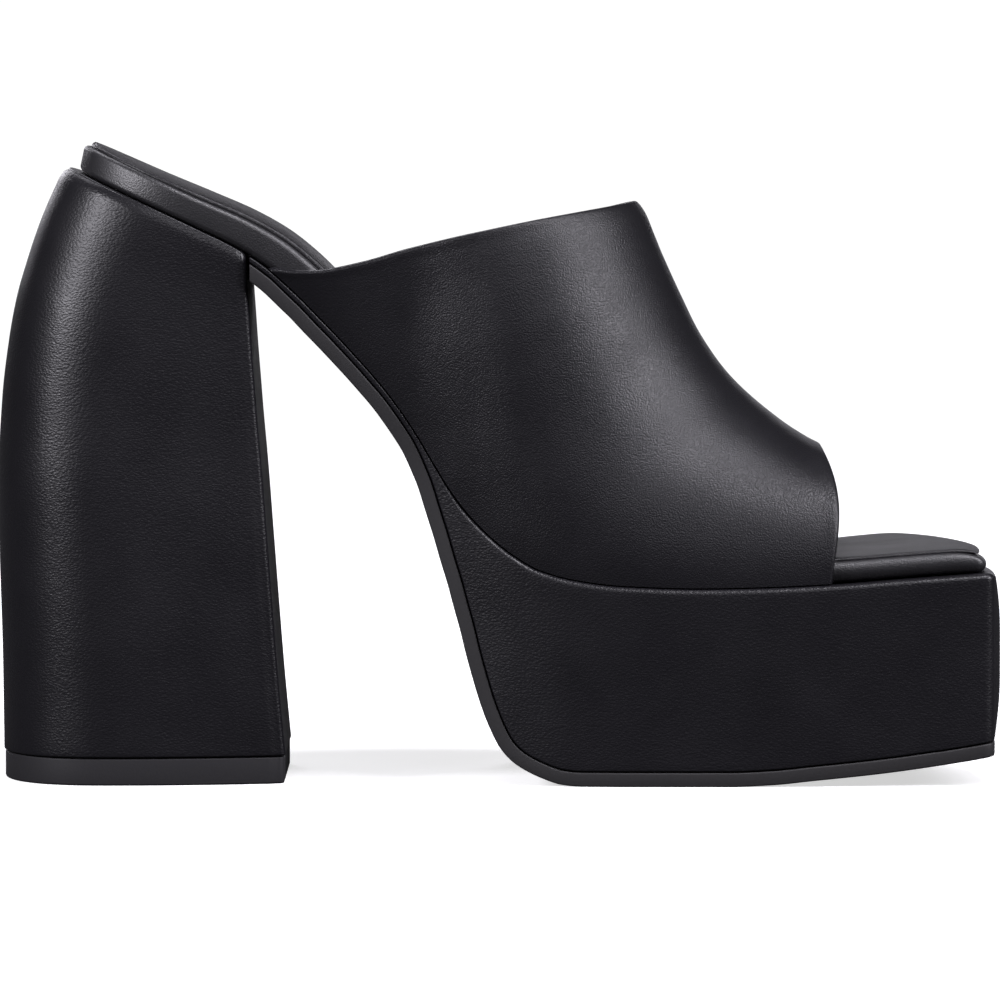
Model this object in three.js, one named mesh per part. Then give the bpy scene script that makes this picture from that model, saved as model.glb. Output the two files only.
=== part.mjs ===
// Platform mule, the left shoe: an open-toed slip-on with a leather upper, a thick covered platform
// and a tall curved block heel. Millimetres, +X to the toe, +Y to the outer side, +Z up.
// The heel's middle lies on Y = 0 while the pieces are made, and the finished shoe is then centred.
import * as THREE from 'three';

// Driving sizes of the shoe
const length = 228.4;
const seatHeight = 140;
const platformHeight = 44.7;
const instepHeight = 132.2;
const vampHeight = 75.6;
const seatWidth = 53;
const waistWidth = 46;
const ballWidth = 77;
const toeWidth = 70;
const toeRise = 3.7;
const toeSpring = 7.4;

// Thicknesses and fits
const wall = 1.8;
const clearance = 0.3;
const outsoleThickness = 3.2;
const waistCover = 1.2;
const boardThickness = 6;
const archThickness = 7.4;
const sockThickness = 1.8;
const sockEdge = 0.55;
const ledge = 1;
const edgeRadius = 1;

// The block heel and its top piece
const heelBaseWidth = 68;
const heelTopWidth = 55.6;
const heelBaseBack = 1.2;
const heelTopBack = 16.4;
const heelDepth = 66.5;
const heelBreastLean = 9;
const heelRounding = 24;
const topPieceThickness = 6.1;
const topPieceInset = 0.3;
const breastCornerRadius = 1.5;

// The upper: its openings measured from the heel's back and from the toe, and how far its crest lies
// to the inner side of the middle
const collarBack = 62.6;
const collarCrestBack = 146;
const toeOpening = 38;
const toeEdgeLean = 1.8;
const crestInward = 3;

// The footbed's two ends, and the toe's outline: a crisp inner corner, a round outer one, and a front
// that bows and slants back to the outer side
const boardBack = 18.7;
const boardSetback = 1.8;
const insoleInset = 1.3;
const heelSquareness = 2.3;
const toeTipBack = 2.4;
const innerCorner = 2.2;
const outerCorner = 13;
const toeSkew = 6.4;
const toeBow = 5.4;
const footbedCrown = 0.8;
const toeBelly = 1.3;
const bellyRun = 14;
const toeRollRun = 8;

// Mesh density
const waistStations = 32;
const closingSteps = 6;
const frontSteps = 3;
const bellySteps = 3;
const upperSections = 26;
const archSteps = 15;
const heelLevels = 14;
const heelSideSteps = 6;
const lineSamples = 400;

// Places along the shoe
const frontX = length / 2;
const heelBreastX = heelDepth - frontX;
const collarBaseX = collarBack - frontX;
const collarCrestX = collarCrestBack - frontX;
const toeOpeningX = frontX - toeOpening;
const boardBackX = boardBack - frontX;
const soleFrontX = frontX - toeTipBack;
const boardFrontX = soleFrontX - boardSetback;

// x of a share of the length, from the heel's back to the front
const along = (share) => (share - 0.5) * length;

// Monotone cubic through one column of a table, as a function of another column
function follow(rows, key, column) {
  const xs = rows.map((row) => row[key]);
  const ys = rows.map((row) => row[column]);
  const steps = xs.slice(1).map((x, i) => (ys[i + 1] - ys[i]) / (x - xs[i]));
  const slopes = xs.map((x, i) => {
    if (i === 0) return steps[0];
    if (i === xs.length - 1) return steps[i - 1];
    if (steps[i - 1] * steps[i] <= 0) return 0;
    return 2 / (1 / steps[i - 1] + 1 / steps[i]);
  });
  return (x) => {
    if (x <= xs[0]) return ys[0] + slopes[0] * (x - xs[0]);
    if (x >= xs[xs.length - 1]) return ys[xs.length - 1] + slopes[xs.length - 1] * (x - xs[xs.length - 1]);
    let i = 0;
    while (x > xs[i + 1]) i += 1;
    const h = xs[i + 1] - xs[i];
    const t = (x - xs[i]) / h;
    const rise = (3 - 2 * t) * t * t;
    return ys[i] * (1 - rise) + ys[i + 1] * rise
      + h * t * (1 - t) * (slopes[i] * (1 - t) - slopes[i + 1] * t);
  };
}

// The foot's line in side view: under the board at the heel, along the feather edge to the toe
const drop = seatHeight - platformHeight;
const lastRows = [
  { x: along(0.0663), fall: -0.002, rise: 0 },
  { x: along(0.0845), fall: 0.016, rise: 0 },
  { x: along(0.1157), fall: 0.05, rise: 0 },
  { x: along(0.1539), fall: 0.092, rise: 0 },
  { x: along(0.2003), fall: 0.144, rise: 0 },
  { x: along(0.2426), fall: 0.194, rise: 0 },
  { x: along(0.2687), fall: 0.234, rise: 0 },
  { x: along(0.2949), fall: 0.286, rise: 0 },
  { x: along(0.3191), fall: 0.348, rise: 0 },
  { x: along(0.3453), fall: 0.412, rise: 0 },
  { x: along(0.3664), fall: 0.467, rise: 0 },
  { x: along(0.3856), fall: 0.52, rise: 0 },
  { x: along(0.4037), fall: 0.577, rise: 0 },
  { x: along(0.4218), fall: 0.642, rise: 0 },
  { x: along(0.4379), fall: 0.707, rise: 0 },
  { x: along(0.453), fall: 0.766, rise: 0 },
  { x: along(0.4671), fall: 0.812, rise: 0 },
  { x: along(0.4822), fall: 0.852, rise: 0 },
  { x: along(0.4993), fall: 0.89, rise: 0 },
  { x: along(0.5175), fall: 0.923, rise: 0 },
  { x: along(0.5426), fall: 0.957, rise: 0 },
  { x: along(0.5799), fall: 0.981, rise: 0 },
  { x: along(0.6252), fall: 0.994, rise: 0 },
  { x: along(0.7028), fall: 1, rise: 0 },
  { x: along(0.7632), fall: 1, rise: 0.07 },
  { x: along(0.8427), fall: 1, rise: 0.3 },
  { x: along(0.8991), fall: 1, rise: 0.57 },
  { x: along(0.9475), fall: 1, rise: 0.79 },
  { x: along(1), fall: 1, rise: 1 },
];
const lastFall = follow(lastRows, 'x', 'fall');
const lastRise = follow(lastRows, 'x', 'rise');
const lastHeight = (x) => seatHeight - drop * lastFall(x) + toeRise * lastRise(x);

// The underside of the outsole: `open` is the share of the height under the foot that stays open
const undersideRows = [
  { x: along(0.2526), open: 1, spring: 0 },
  { x: along(0.4037), open: 1, spring: 0 },
  { x: along(0.4218), open: 0.972, spring: 0 },
  { x: along(0.4299), open: 0.937, spring: 0 },
  { x: along(0.4374), open: 0.893, spring: 0 },
  { x: along(0.4445), open: 0.841, spring: 0 },
  { x: along(0.4515), open: 0.782, spring: 0 },
  { x: along(0.4576), open: 0.713, spring: 0 },
  { x: along(0.4641), open: 0.638, spring: 0 },
  { x: along(0.4701), open: 0.55, spring: 0 },
  { x: along(0.4767), open: 0.461, spring: 0 },
  { x: along(0.4842), open: 0.365, spring: 0 },
  { x: along(0.4933), open: 0.268, spring: 0 },
  { x: along(0.5039), open: 0.18, spring: 0 },
  { x: along(0.5165), open: 0.118, spring: 0 },
  { x: along(0.5306), open: 0.076, spring: 0 },
  { x: along(0.5467), open: 0.04, spring: 0 },
  { x: along(0.5648), open: 0.01, spring: 0 },
  { x: along(0.5849), open: 0, spring: 0 },
  { x: along(0.732), open: 0, spring: 0 },
  { x: along(0.7763), open: 0, spring: 0.06 },
  { x: along(0.8115), open: 0, spring: 0.17 },
  { x: along(0.877), open: 0, spring: 0.38 },
  { x: along(0.9424), open: 0, spring: 0.66 },
  { x: along(0.9908), open: 0, spring: 0.92 },
  { x: along(1), open: 0, spring: 1 },
];
const openShare = follow(undersideRows, 'x', 'open');
const springShare = follow(undersideRows, 'x', 'spring');
const waistStack = outsoleThickness + waistCover + clearance;
const slopeStep = 0.05;
const slopeOf = (height) => (x) => (height(x + slopeStep) - height(x - slopeStep)) / (2 * slopeStep);
const lastSlope = slopeOf(lastHeight);
const underside = (x) => {
  const stack = waistStack * Math.hypot(1, lastSlope(x));
  return openShare(x) * (lastHeight(x) - stack) + toeSpring * springShare(x);
};

// The board's outline from above: distances from the heel's middle line to each side
const planRows = [
  { x: along(0.0613), inner: 0.5 * seatWidth, outer: 0.5 * seatWidth },
  { x: along(0.1922), inner: 0.5 * seatWidth, outer: 0.5 * seatWidth },
  { x: along(0.2426), inner: 0.491 * seatWidth, outer: 0.483 * seatWidth },
  { x: along(0.2929), inner: 0.536 * waistWidth, outer: 0.513 * waistWidth },
  { x: along(0.3533), inner: 0.512 * waistWidth, outer: 0.474 * waistWidth },
  { x: along(0.4137), inner: 0.526 * waistWidth, outer: 0.483 * waistWidth },
  { x: along(0.4691), inner: 0.355 * ballWidth, outer: 0.35 * ballWidth },
  { x: along(0.5215), inner: 0.4 * ballWidth, outer: 0.435 * ballWidth },
  { x: along(0.5749), inner: 0.43 * ballWidth, outer: 0.505 * ballWidth },
  { x: along(0.6353), inner: 0.443 * ballWidth, outer: 0.545 * ballWidth },
  { x: along(0.7058), inner: 0.445 * ballWidth, outer: 0.56 * ballWidth },
  { x: along(0.7662), inner: 0.444 * ballWidth, outer: 0.557 * ballWidth },
  { x: along(0.8327), inner: 0.48 * toeWidth, outer: 0.6 * toeWidth },
  { x: along(0.8971), inner: 0.468 * toeWidth, outer: 0.584 * toeWidth },
  { x: along(0.9505), inner: 0.457 * toeWidth, outer: 0.57 * toeWidth },
  { x: along(1), inner: 0.445 * toeWidth, outer: 0.558 * toeWidth },
];
const planInner = follow(planRows, 'x', 'inner');
const planOuter = follow(planRows, 'x', 'outer');

// How much of the ledge round the upper the platform and outsole have: all of it at the forefoot
const ledgeRows = [
  { x: along(0.4037), share: 0 },
  { x: along(0.5044), share: 1 },
  { x: along(1), share: 1 },
];
const ledgeShareRaw = follow(ledgeRows, 'x', 'share');
const ledgeShare = (x) => THREE.MathUtils.clamp(ledgeShareRaw(x), 0, 1);

// y of a side of the plan (-1 inner, +1 outer) at x, moved outwards by `out`
const sideY = (side, x, out) => side * ((side < 0 ? planInner(x) : planOuter(x)) + out);
const middleY = (x) => 0.5 * (planOuter(x) - planInner(x));

// Places from start to end, even along a line in side view
function evenPlaces(line, start, end, count) {
  const xs = Array.from({ length: lineSamples + 1 }, (_, i) => start + (end - start) * i / lineSamples);
  const run = [0];
  for (let i = 1; i <= lineSamples; i += 1) {
    run.push(run[i - 1] + Math.hypot(xs[i] - xs[i - 1], line(xs[i]) - line(xs[i - 1])));
  }
  return Array.from({ length: count + 1 }, (_, n) => {
    const goal = run[lineSamples] * n / count;
    let i = 1;
    while (i < lineSamples && run[i] < goal) i += 1;
    const t = (goal - run[i - 1]) / (run[i] - run[i - 1]);
    return xs[i - 1] + (xs[i] - xs[i - 1]) * t;
  });
}

// Steps of an end that closes like a squarish ellipse, from full width to a blunt tip
const bluntTip = 0.93;
function closing(reach, squareness) {
  return Array.from({ length: closingSteps }, (_, i) => {
    const angle = 0.5 * Math.PI * bluntTip * (i + 1) / closingSteps;
    const width = Math.cos(angle) ** (2 / squareness);
    return { x: reach * Math.sin(angle) ** (2 / squareness), width };
  });
}

// Stations of a piece from heel to toe. Each has its zone, and in an end how far it is through it.
// `crown` is the share of the toe's bow that lies in stations over the front, which a round edge needs
const narrowTip = 0.985;
function pathOf(line, start, end, crown, roundHeel) {
  const steps = (zone, count, most) => Array.from({ length: count }, (_, i) => (
    { zone, turn: most * (i + 1) / count }));
  return [
    ...(roundHeel ? steps('heel', closingSteps, narrowTip).reverse() : []),
    ...evenPlaces(line, start, end - crown - outerCorner, waistStations)
      .map((x) => ({ zone: 'body', turn: 0, x })),
    ...steps('corner', closingSteps, 1),
    ...(crown > 0 ? steps('front', frontSteps, narrowTip) : []),
  ].map((station) => ({ ...station, start, end, crown }));
}

// x of a station whose outline is moved in by `inset`
function stationX({ zone, turn, x, start, end, crown }, inset) {
  const sine = Math.sin(0.5 * Math.PI * turn);
  if (zone === 'heel') return start - (heelRounding - inset) * sine ** (2 / heelSquareness);
  if (zone === 'corner') return end - inset - crown - (outerCorner - inset) * (1 - sine);
  if (zone === 'front') return end - inset - crown * (1 - turn) ** 2;
  return x;
}

// y of the middle and width to one side (-1 inner, 1 outer) of a station whose sides are moved out by
// `out`, less `inset`. `bodyX` is where a station of the body is measured
const sharpestCorner = 0.2;
function halfWidth(station, side, out, inset, bodyX) {
  const x = station.zone === 'body' ? bodyX : stationX(station, inset);
  const middle = middleY(x);
  const full = Math.abs(sideY(side, x, out - inset) - middle);
  const corner = Math.max((side < 0 ? innerCorner : outerCorner) - inset, sharpestCorner);
  const into = THREE.MathUtils.clamp((x - station.end + inset + station.crown) / corner + 1, 0, 1);
  let width = full - corner * (1 - Math.sqrt(1 - into ** 2));
  if (station.zone === 'heel') width = full * Math.cos(0.5 * Math.PI * station.turn) ** (2 / heelSquareness);
  if (station.zone === 'front') width *= 1 - station.turn;
  return { middle, width, part: width / full };
}

// A point at `share` of the half width (-1 inner side, 1 outer side) of a station, at a place in side
// view. The toe's front bows, and lies further back on the outer side
const skewStartX = along(0.7561);
function across(station, share, out, inset, place) {
  const { middle, width, part } = halfWidth(station, share < 0 ? -1 : 1, out, inset, place.x);
  const back = toeSkew * share * part + (toeBow - station.crown) * (share * part) ** 2;
  const x = place.x - back * THREE.MathUtils.smoothstep(place.x, skewStartX, frontX);
  return new THREE.Vector3(x, middle + share * width, place.y);
}

// Closed body between an over and an under row of points at each section
function slab(sections) {
  const columns = sections[0].over.length;
  const positions = [];
  sections.forEach(({ over, under }) => {
    [...over, ...under].forEach((point) => positions.push(point.x, point.y, point.z));
  });
  const over = (k, j) => k * 2 * columns + j;
  const under = (k, j) => over(k, j) + columns;
  const indices = [];
  const quad = (a, b, c, d) => indices.push(a, b, c, a, c, d);
  for (let k = 0; k + 1 < sections.length; k += 1) {
    for (let j = 0; j + 1 < columns; j += 1) {
      quad(over(k, j), over(k, j + 1), over(k + 1, j + 1), over(k + 1, j));
      quad(under(k, j), under(k + 1, j), under(k + 1, j + 1), under(k, j + 1));
    }
    const j = columns - 1;
    quad(under(k, 0), over(k, 0), over(k + 1, 0), under(k + 1, 0));
    quad(over(k, j), under(k, j), under(k + 1, j), over(k + 1, j));
  }
  const last = sections.length - 1;
  for (let j = 0; j + 1 < columns; j += 1) {
    quad(under(0, j), under(0, j + 1), over(0, j + 1), over(0, j));
    quad(over(last, j), over(last, j + 1), under(last, j + 1), under(last, j));
  }
  const geometry = new THREE.BufferGeometry();
  geometry.setAttribute('position', new THREE.Float32BufferAttribute(positions, 3));
  geometry.setIndex(outward(positions, indices));
  geometry.computeVertexNormals();
  return geometry;
}

// Turns all faces round if they enclose a negative volume
function outward(positions, indices) {
  const corner = (i) => new THREE.Vector3().fromArray(positions, 3 * i);
  let volume = 0;
  for (let i = 0; i < indices.length; i += 3) {
    volume += corner(indices[i]).dot(corner(indices[i + 1]).cross(corner(indices[i + 2])));
  }
  return volume > 0 ? indices : indices.slice().reverse();
}

// The sole's end at the heel's breast, clear of it all the way down the end face
function soleStartX() {
  const topX = heelBreastX - heelBreastLean;
  return breastX(lastHeight(topX) - 2 * waistStack) + clearance;
}

// A point off a side-view line by `offset`: square to the line, but upright where the piece starts
const uprightRun = 8;
function offLine(height, x, offset, startX = soleStartX(), uprightFor = uprightRun) {
  const slope = slopeOf(height)(x);
  const square = new THREE.Vector2(-slope, 1).normalize();
  const lean = THREE.MathUtils.smoothstep(x, startX, startX + uprightFor);
  const way = new THREE.Vector2(square.x * lean, square.y).normalize();
  const reach = offset / way.dot(square);
  return new THREE.Vector2(x + way.x * reach, height(x) + way.y * reach);
}

// The heel's side view and half width, by the share of the height from its base to the seat
const heelBase = topPieceThickness + clearance;
const heelRows = [
  { up: 0, back: heelBaseBack, lean: 0, half: 0.5 * heelBaseWidth, front: 0.82 },
  { up: 0.16, back: 0.75 * heelBaseBack, lean: 0.18, half: 0.496 * heelBaseWidth, front: 0.83 },
  { up: 0.335, back: 0.17 * heelBaseBack, lean: 0.35, half: 0.484 * heelBaseWidth, front: 0.85 },
  { up: 0.44, back: 0, lean: 0.45, half: 0.474 * heelBaseWidth, front: 0.865 },
  { up: 0.576, back: 0.055 * heelTopBack, lean: 0.58, half: 0.556 * heelTopWidth, front: 0.885 },
  { up: 0.68, back: 0.158 * heelTopBack, lean: 0.7, half: 0.541 * heelTopWidth, front: 0.9 },
  { up: 0.749, back: 0.262 * heelTopBack, lean: 0.77, half: 0.531 * heelTopWidth, front: 0.91 },
  { up: 0.818, back: 0.415 * heelTopBack, lean: 0.84, half: 0.52 * heelTopWidth, front: 0.925 },
  { up: 0.887, back: 0.59 * heelTopBack, lean: 0.9, half: 0.511 * heelTopWidth, front: 0.935 },
  { up: 0.956, back: 0.8 * heelTopBack, lean: 0.965, half: 0.504 * heelTopWidth, front: 0.95 },
  { up: 0.985, back: 0.9 * heelTopBack, lean: 0.99, half: 0.5 * heelTopWidth, front: 0.955 },
  { up: 1, back: heelTopBack, lean: 1, half: 0.49 * heelTopWidth, front: 0.955 },
];
const heelColumn = (column) => follow(heelRows, 'up', column);
const heelBack = heelColumn('back');
const heelLean = heelColumn('lean');
const heelHalf = heelColumn('half');
const heelFront = heelColumn('front');
const breastAt = (up) => heelBreastX - heelBreastLean * heelLean(up);
const breastFall = 0.2;
const breastX = (z) => breastAt((z - heelBase) / (seatHeight - drop * breastFall - heelBase));

// Half outline of the heel at a level: a row of points from the breast to the back
const cornerCut = 0.3;
const backFlat = 0.05;
function heelOutline(up, inset) {
  const front = breastAt(up) - inset;
  const back = -frontX + heelBack(up) + inset;
  const half = heelHalf(up) - inset;
  const turn = back + heelRounding;
  const frontShare = heelFront(up);
  const corner = breastCornerRadius;
  const points = [
    { x: front, y: half * frontShare - corner },
    { x: front - cornerCut * corner, y: half * frontShare - cornerCut * corner },
    { x: front - corner, y: half * frontShare },
  ];
  for (let i = 1; i <= heelSideSteps; i += 1) {
    const x = THREE.MathUtils.lerp(front - corner, turn, i / heelSideSteps);
    const toFront = (x - turn) / (front - turn);
    points.push({ x, y: half * (1 - (1 - frontShare) * toFront ** 2) });
  }
  closing(heelRounding, heelSquareness).forEach((step) => {
    points.push({ x: turn - step.x, y: half * step.width });
  });
  points.push({ x: back, y: backFlat * half });
  return points;
}

// A section of the heel with its height worked out at each point
function heelSection(up, inset, heightAt) {
  const outline = heelOutline(up, inset);
  return {
    over: outline.map((p) => new THREE.Vector3(p.x, -p.y, heightAt(p.x))),
    under: outline.map((p) => new THREE.Vector3(p.x, p.y, heightAt(p.x))),
  };
}

const rimLevel = 0.985;
function heelGeometry() {
  const levels = Array.from({ length: heelLevels + 1 }, (_, i) => i / heelLevels);
  levels.splice(heelLevels, 0, rimLevel);
  return slab(levels.map((up) => (
    heelSection(up, 0, (x) => heelBase + up * (lastHeight(x) - heelBase)))));
}

function topPieceGeometry() {
  return slab([0, topPieceThickness].map((z) => heelSection(0, topPieceInset, () => z)));
}

// Outsole: a sheet from the heel's breast down the waist, down the platform's rear and out to the toe
const solePath = () => pathOf(underside, soleStartX(), soleFrontX, 0, false);
const besideUpper = (x) => clearance + wall + ledge * ledgeShare(x);
const innerShares = [-0.6, -0.2, 0.2, 0.6];
function outsoleGeometry() {
  const shares = [-1, ...innerShares, 1];
  return slab(solePath().map((station) => {
    const x = stationX(station, 0);
    const under = new THREE.Vector2(x, underside(x));
    const over = offLine(underside, x, outsoleThickness);
    if (station.zone !== 'body') over.x = x;
    const row = (place) => shares.map((share) => across(station, share, besideUpper(place.x), 0, place));
    return { over: row(over), under: row(under) };
  }));
}

// Platform: the covered block, thinning to a cover up the waist. Each section joins a place on the
// outsole's line to a place on the foot's line
const platformRows = [
  { sole: soleStartX(), top: soleStartX() },
  { sole: along(0.2859), top: along(0.2959) },
  { sole: along(0.3181), top: along(0.3342) },
  { sole: along(0.3624), top: along(0.379) },
  { sole: along(0.3981), top: along(0.4163) },
  { sole: along(0.4117), top: along(0.4334) },
  { sole: along(0.4223), top: along(0.448) },
  { sole: along(0.4299), top: along(0.4621) },
  { sole: along(0.4374), top: along(0.4757) },
  { sole: along(0.4445), top: along(0.4868) },
  { sole: along(0.4576), top: along(0.5079) },
  { sole: along(0.4701), top: along(0.5265) },
  { sole: along(0.4842), top: along(0.5467) },
  { sole: along(0.5039), top: along(0.5724) },
  { sole: along(0.5306), top: along(0.6031) },
  { sole: along(0.5648), top: along(0.6333) },
  { sole: along(0.6353), top: along(0.6836) },
  { sole: along(0.7662), top: along(0.7843) },
  { sole: along(0.8971), top: along(0.9021) },
  { sole: along(0.9374), top: along(0.9374) },
  { sole: along(1), top: along(1) },
];
const platformTopX = follow(platformRows, 'sole', 'top');

// The front panel: the last station again, ever smaller, and swelling forward from its edges
function panelPath() {
  const path = solePath();
  return [
    ...path.map((station) => ({ ...station, smaller: 0 })),
    ...Array.from({ length: bellySteps }, (_, i) => (
      { ...path[path.length - 1], smaller: bellyRun * ((i + 1) / bellySteps) ** 2 })),
  ];
}

const outerShares = [0.8, 0.85, 0.9, 0.94, 0.98];
function platformGeometry() {
  return slab(panelPath().map((station) => {
    const x = stationX(station, 0);
    const foot = offLine(underside, x, outsoleThickness + clearance);
    const topX = station.zone === 'body' ? platformTopX(x) : foot.x;
    const top = new THREE.Vector2(topX, lastHeight(topX));
    const height = top.distanceTo(foot);
    const radius = Math.min(edgeRadius, cornerCut * height);
    const at = (t, share, round) => {
      const inset = station.smaller > 0 ? 0 : round;
      const up = THREE.MathUtils.lerp(station.smaller, height - station.smaller, t) / height;
      const place = foot.clone().lerp(top, up);
      if (station.zone !== 'body') place.x = stationX(station, inset);
      const out = besideUpper(place.x);
      const { width } = halfWidth(station, Math.sign(share), out, inset, place.x);
      const point = across(station, share * (1 - station.smaller / width), out, inset, place);
      point.x += toeBelly * (1 - (1 - station.smaller / bellyRun) ** 2);
      return point;
    };
    const high = 1 - radius / height;
    const side = (share) => [at(0, share, 0), at(0.5, share, 0), at(high, share, 0),
      at(1 - cornerCut * (1 - high), share, cornerCut * radius), at(1, share, radius)];
    const under = [...outerShares.map((share) => -share).reverse(), ...innerShares, ...outerShares];
    return {
      over: [...side(-1), ...innerShares.map((share) => at(1, share, radius)), ...side(1).reverse()],
      under: under.map((share) => at(0, share, 0)),
    };
  }));
}

// Thickness of the footbed board and how round its side is, along the foot
const boardRows = [
  { x: along(0.0613), thick: boardThickness, round: 0.2 },
  { x: along(0.1721), thick: boardThickness, round: 0.2 },
  { x: along(0.2426), thick: 0.55 * boardThickness + 0.45 * archThickness, round: 0.22 },
  { x: along(0.303), thick: archThickness, round: 0.25 },
  { x: along(0.3735), thick: archThickness, round: 0.3 },
  { x: along(0.4641), thick: boardThickness, round: 0.4 },
  { x: along(0.6856), thick: 0.9 * boardThickness, round: 0.45 },
  { x: along(0.8367), thick: 0.85 * boardThickness, round: 0.48 },
  { x: along(1), thick: 0.85 * boardThickness, round: 0.48 },
];
const boardThick = follow(boardRows, 'x', 'thick');
const boardRound = follow(boardRows, 'x', 'round');

const footbedPath = () => pathOf(lastHeight, boardBackX + heelRounding, boardFrontX, footbedCrown, true);

// Points off the foot's line: upright at the back of the seat
const offFoot = (x, offset) => offLine(lastHeight, x, offset, boardBackX - heelRounding, 2 * heelRounding);

// The share of the board's thickness that is left where its front rolls down
const rolledShare = 0.58;
function toeRoll(x) {
  const into = THREE.MathUtils.clamp((x - boardFrontX) / toeRollRun + 1, 0, 1);
  return rolledShare + (1 - rolledShare) * Math.sqrt(1 - into ** 2);
}

function boardGeometry() {
  const angles = [5, 30, 60, 90].map(THREE.MathUtils.degToRad);
  return slab(footbedPath().map((station) => {
    const x = stationX(station, 0);
    const thick = boardThick(x) * toeRoll(x);
    const round = boardRound(x) * thick;
    const at = (share, inset, height) => (
      across(station, share, 0, inset, offFoot(stationX(station, inset), clearance + height)));
    const rim = (share, sign) => angles.map((angle) => at(share, round * (1 - Math.cos(angle)),
      0.5 * thick + sign * (0.5 * thick - round + round * Math.sin(angle))));
    const row = (sign) => [...rim(-1, sign),
      ...innerShares.map((share) => at(share, round, 0.5 * thick * (1 + sign))), ...rim(1, sign).reverse()];
    return { over: row(1), under: row(-1) };
  }));
}

// Insole: a sock with a crown, thinner to the toe and at its front
const sockRows = [
  { x: along(0.0613), thick: 0.65 * sockThickness },
  { x: along(0.14), thick: 0.7 * sockThickness },
  { x: along(0.2), thick: 0.95 * sockThickness },
  { x: along(0.32), thick: sockThickness },
  { x: along(0.47), thick: 0.7 * sockThickness },
  { x: along(0.7), thick: 0.5 * sockThickness },
  { x: along(0.85), thick: 0.4 * sockThickness },
  { x: along(1), thick: 0.35 * sockThickness },
];
const sockThick = follow(sockRows, 'x', 'thick');
const tipThinning = 0.15;
function insoleGeometry() {
  const shares = [-1, -0.93, -0.78, -0.4, 0, 0.4, 0.78, 0.93, 1];
  return slab(footbedPath().map((station) => {
    const x = stationX(station, insoleInset);
    const base = 2 * clearance + boardThick(x) * toeRoll(x);
    const at = (share, height) => across(station, share, 0, insoleInset, offFoot(x, base + height));
    const tip = station.zone === 'front' ? (1 - station.turn) ** tipThinning : 1;
    const crown = (share) => sockThick(x) * tip * (sockEdge + (1 - sockEdge) * (1 - share ** 4));
    return {
      over: shares.map((share) => at(share, Math.abs(share) === 1 ? 0.5 * crown(1) : crown(share))),
      under: shares.map((share) => at(share, 0)),
    };
  }));
}

// The upper's crest in side view, by the share of the run from the collar to the toe opening
const vampDrop = instepHeight - vampHeight;
const crestRows = [
  { run: 0, up: 1 },
  { run: 0.057, up: 0.95 },
  { run: 0.112, up: 0.85 },
  { run: 0.157, up: 0.767 },
  { run: 0.254, up: 0.605 },
  { run: 0.364, up: 0.44 },
  { run: 0.528, up: 0.272 },
  { run: 0.781, up: 0.105 },
  { run: 1, up: 0 },
];
const crest = new THREE.SplineCurve(crestRows.map((row) => new THREE.Vector2(
  THREE.MathUtils.lerp(collarCrestX, toeOpeningX - toeEdgeLean, row.run), vampHeight + vampDrop * row.up)));

// Shape of the arch over the foot, by the share of the way from the collar to the toe opening: the
// bulge over the feather edge, its height, the squareness of the shoulder, how much of the collar's
// dip the section has, and how far it bows to the toe
const archRows = [
  { way: 0, bulge: 0.34, height: 0.45, shoulder: 0.6, collar: 1, bow: 0 },
  { way: 0.1, bulge: 0.33, height: 0.44, shoulder: 0.62, collar: 0.5, bow: 0 },
  { way: 0.22, bulge: 0.31, height: 0.42, shoulder: 0.63, collar: 0.07, bow: 0 },
  { way: 0.3, bulge: 0.28, height: 0.4, shoulder: 0.64, collar: 0, bow: 0 },
  { way: 0.5, bulge: 0.17, height: 0.42, shoulder: 0.66, collar: 0, bow: 0 },
  { way: 0.7, bulge: 0.08, height: 0.46, shoulder: 0.7, collar: 0, bow: 0 },
  { way: 0.88, bulge: 0.03, height: 0.52, shoulder: 0.74, collar: 0, bow: 0.16 },
  { way: 1, bulge: 0.02, height: 0.55, shoulder: 0.76, collar: 0, bow: 1 },
];
const archColumn = (column) => follow(archRows, 'way', column);
const bulge = archColumn('bulge');
const bulgeHeight = archColumn('height');
const shoulder = archColumn('shoulder');
const collarShare = archColumn('collar');
const edgeBow = archColumn('bow');
const edgeBowLow = 1.3;
const edgeBowHigh = 5.7;

// The collar's dip below a straight line, by the share of the height from feather edge to crest,
// and how much lower the collar is on the outer side
const collarDip = 2.6;
const collarTilt = 3.4;
const dipRows = [
  { up: 0, dip: 0, tilt: 0 },
  { up: 0.08, dip: 0.68, tilt: 0.7 },
  { up: 0.16, dip: 1, tilt: 1 },
  { up: 0.26, dip: 0.86, tilt: 1 },
  { up: 0.38, dip: 0.42, tilt: 1 },
  { up: 0.55, dip: 0.06, tilt: 0.9 },
  { up: 0.75, dip: -0.1, tilt: 0.65 },
  { up: 1, dip: 0, tilt: 0 },
];
const dipShare = follow(dipRows, 'up', 'dip');
const tiltShare = follow(dipRows, 'up', 'tilt');

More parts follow.
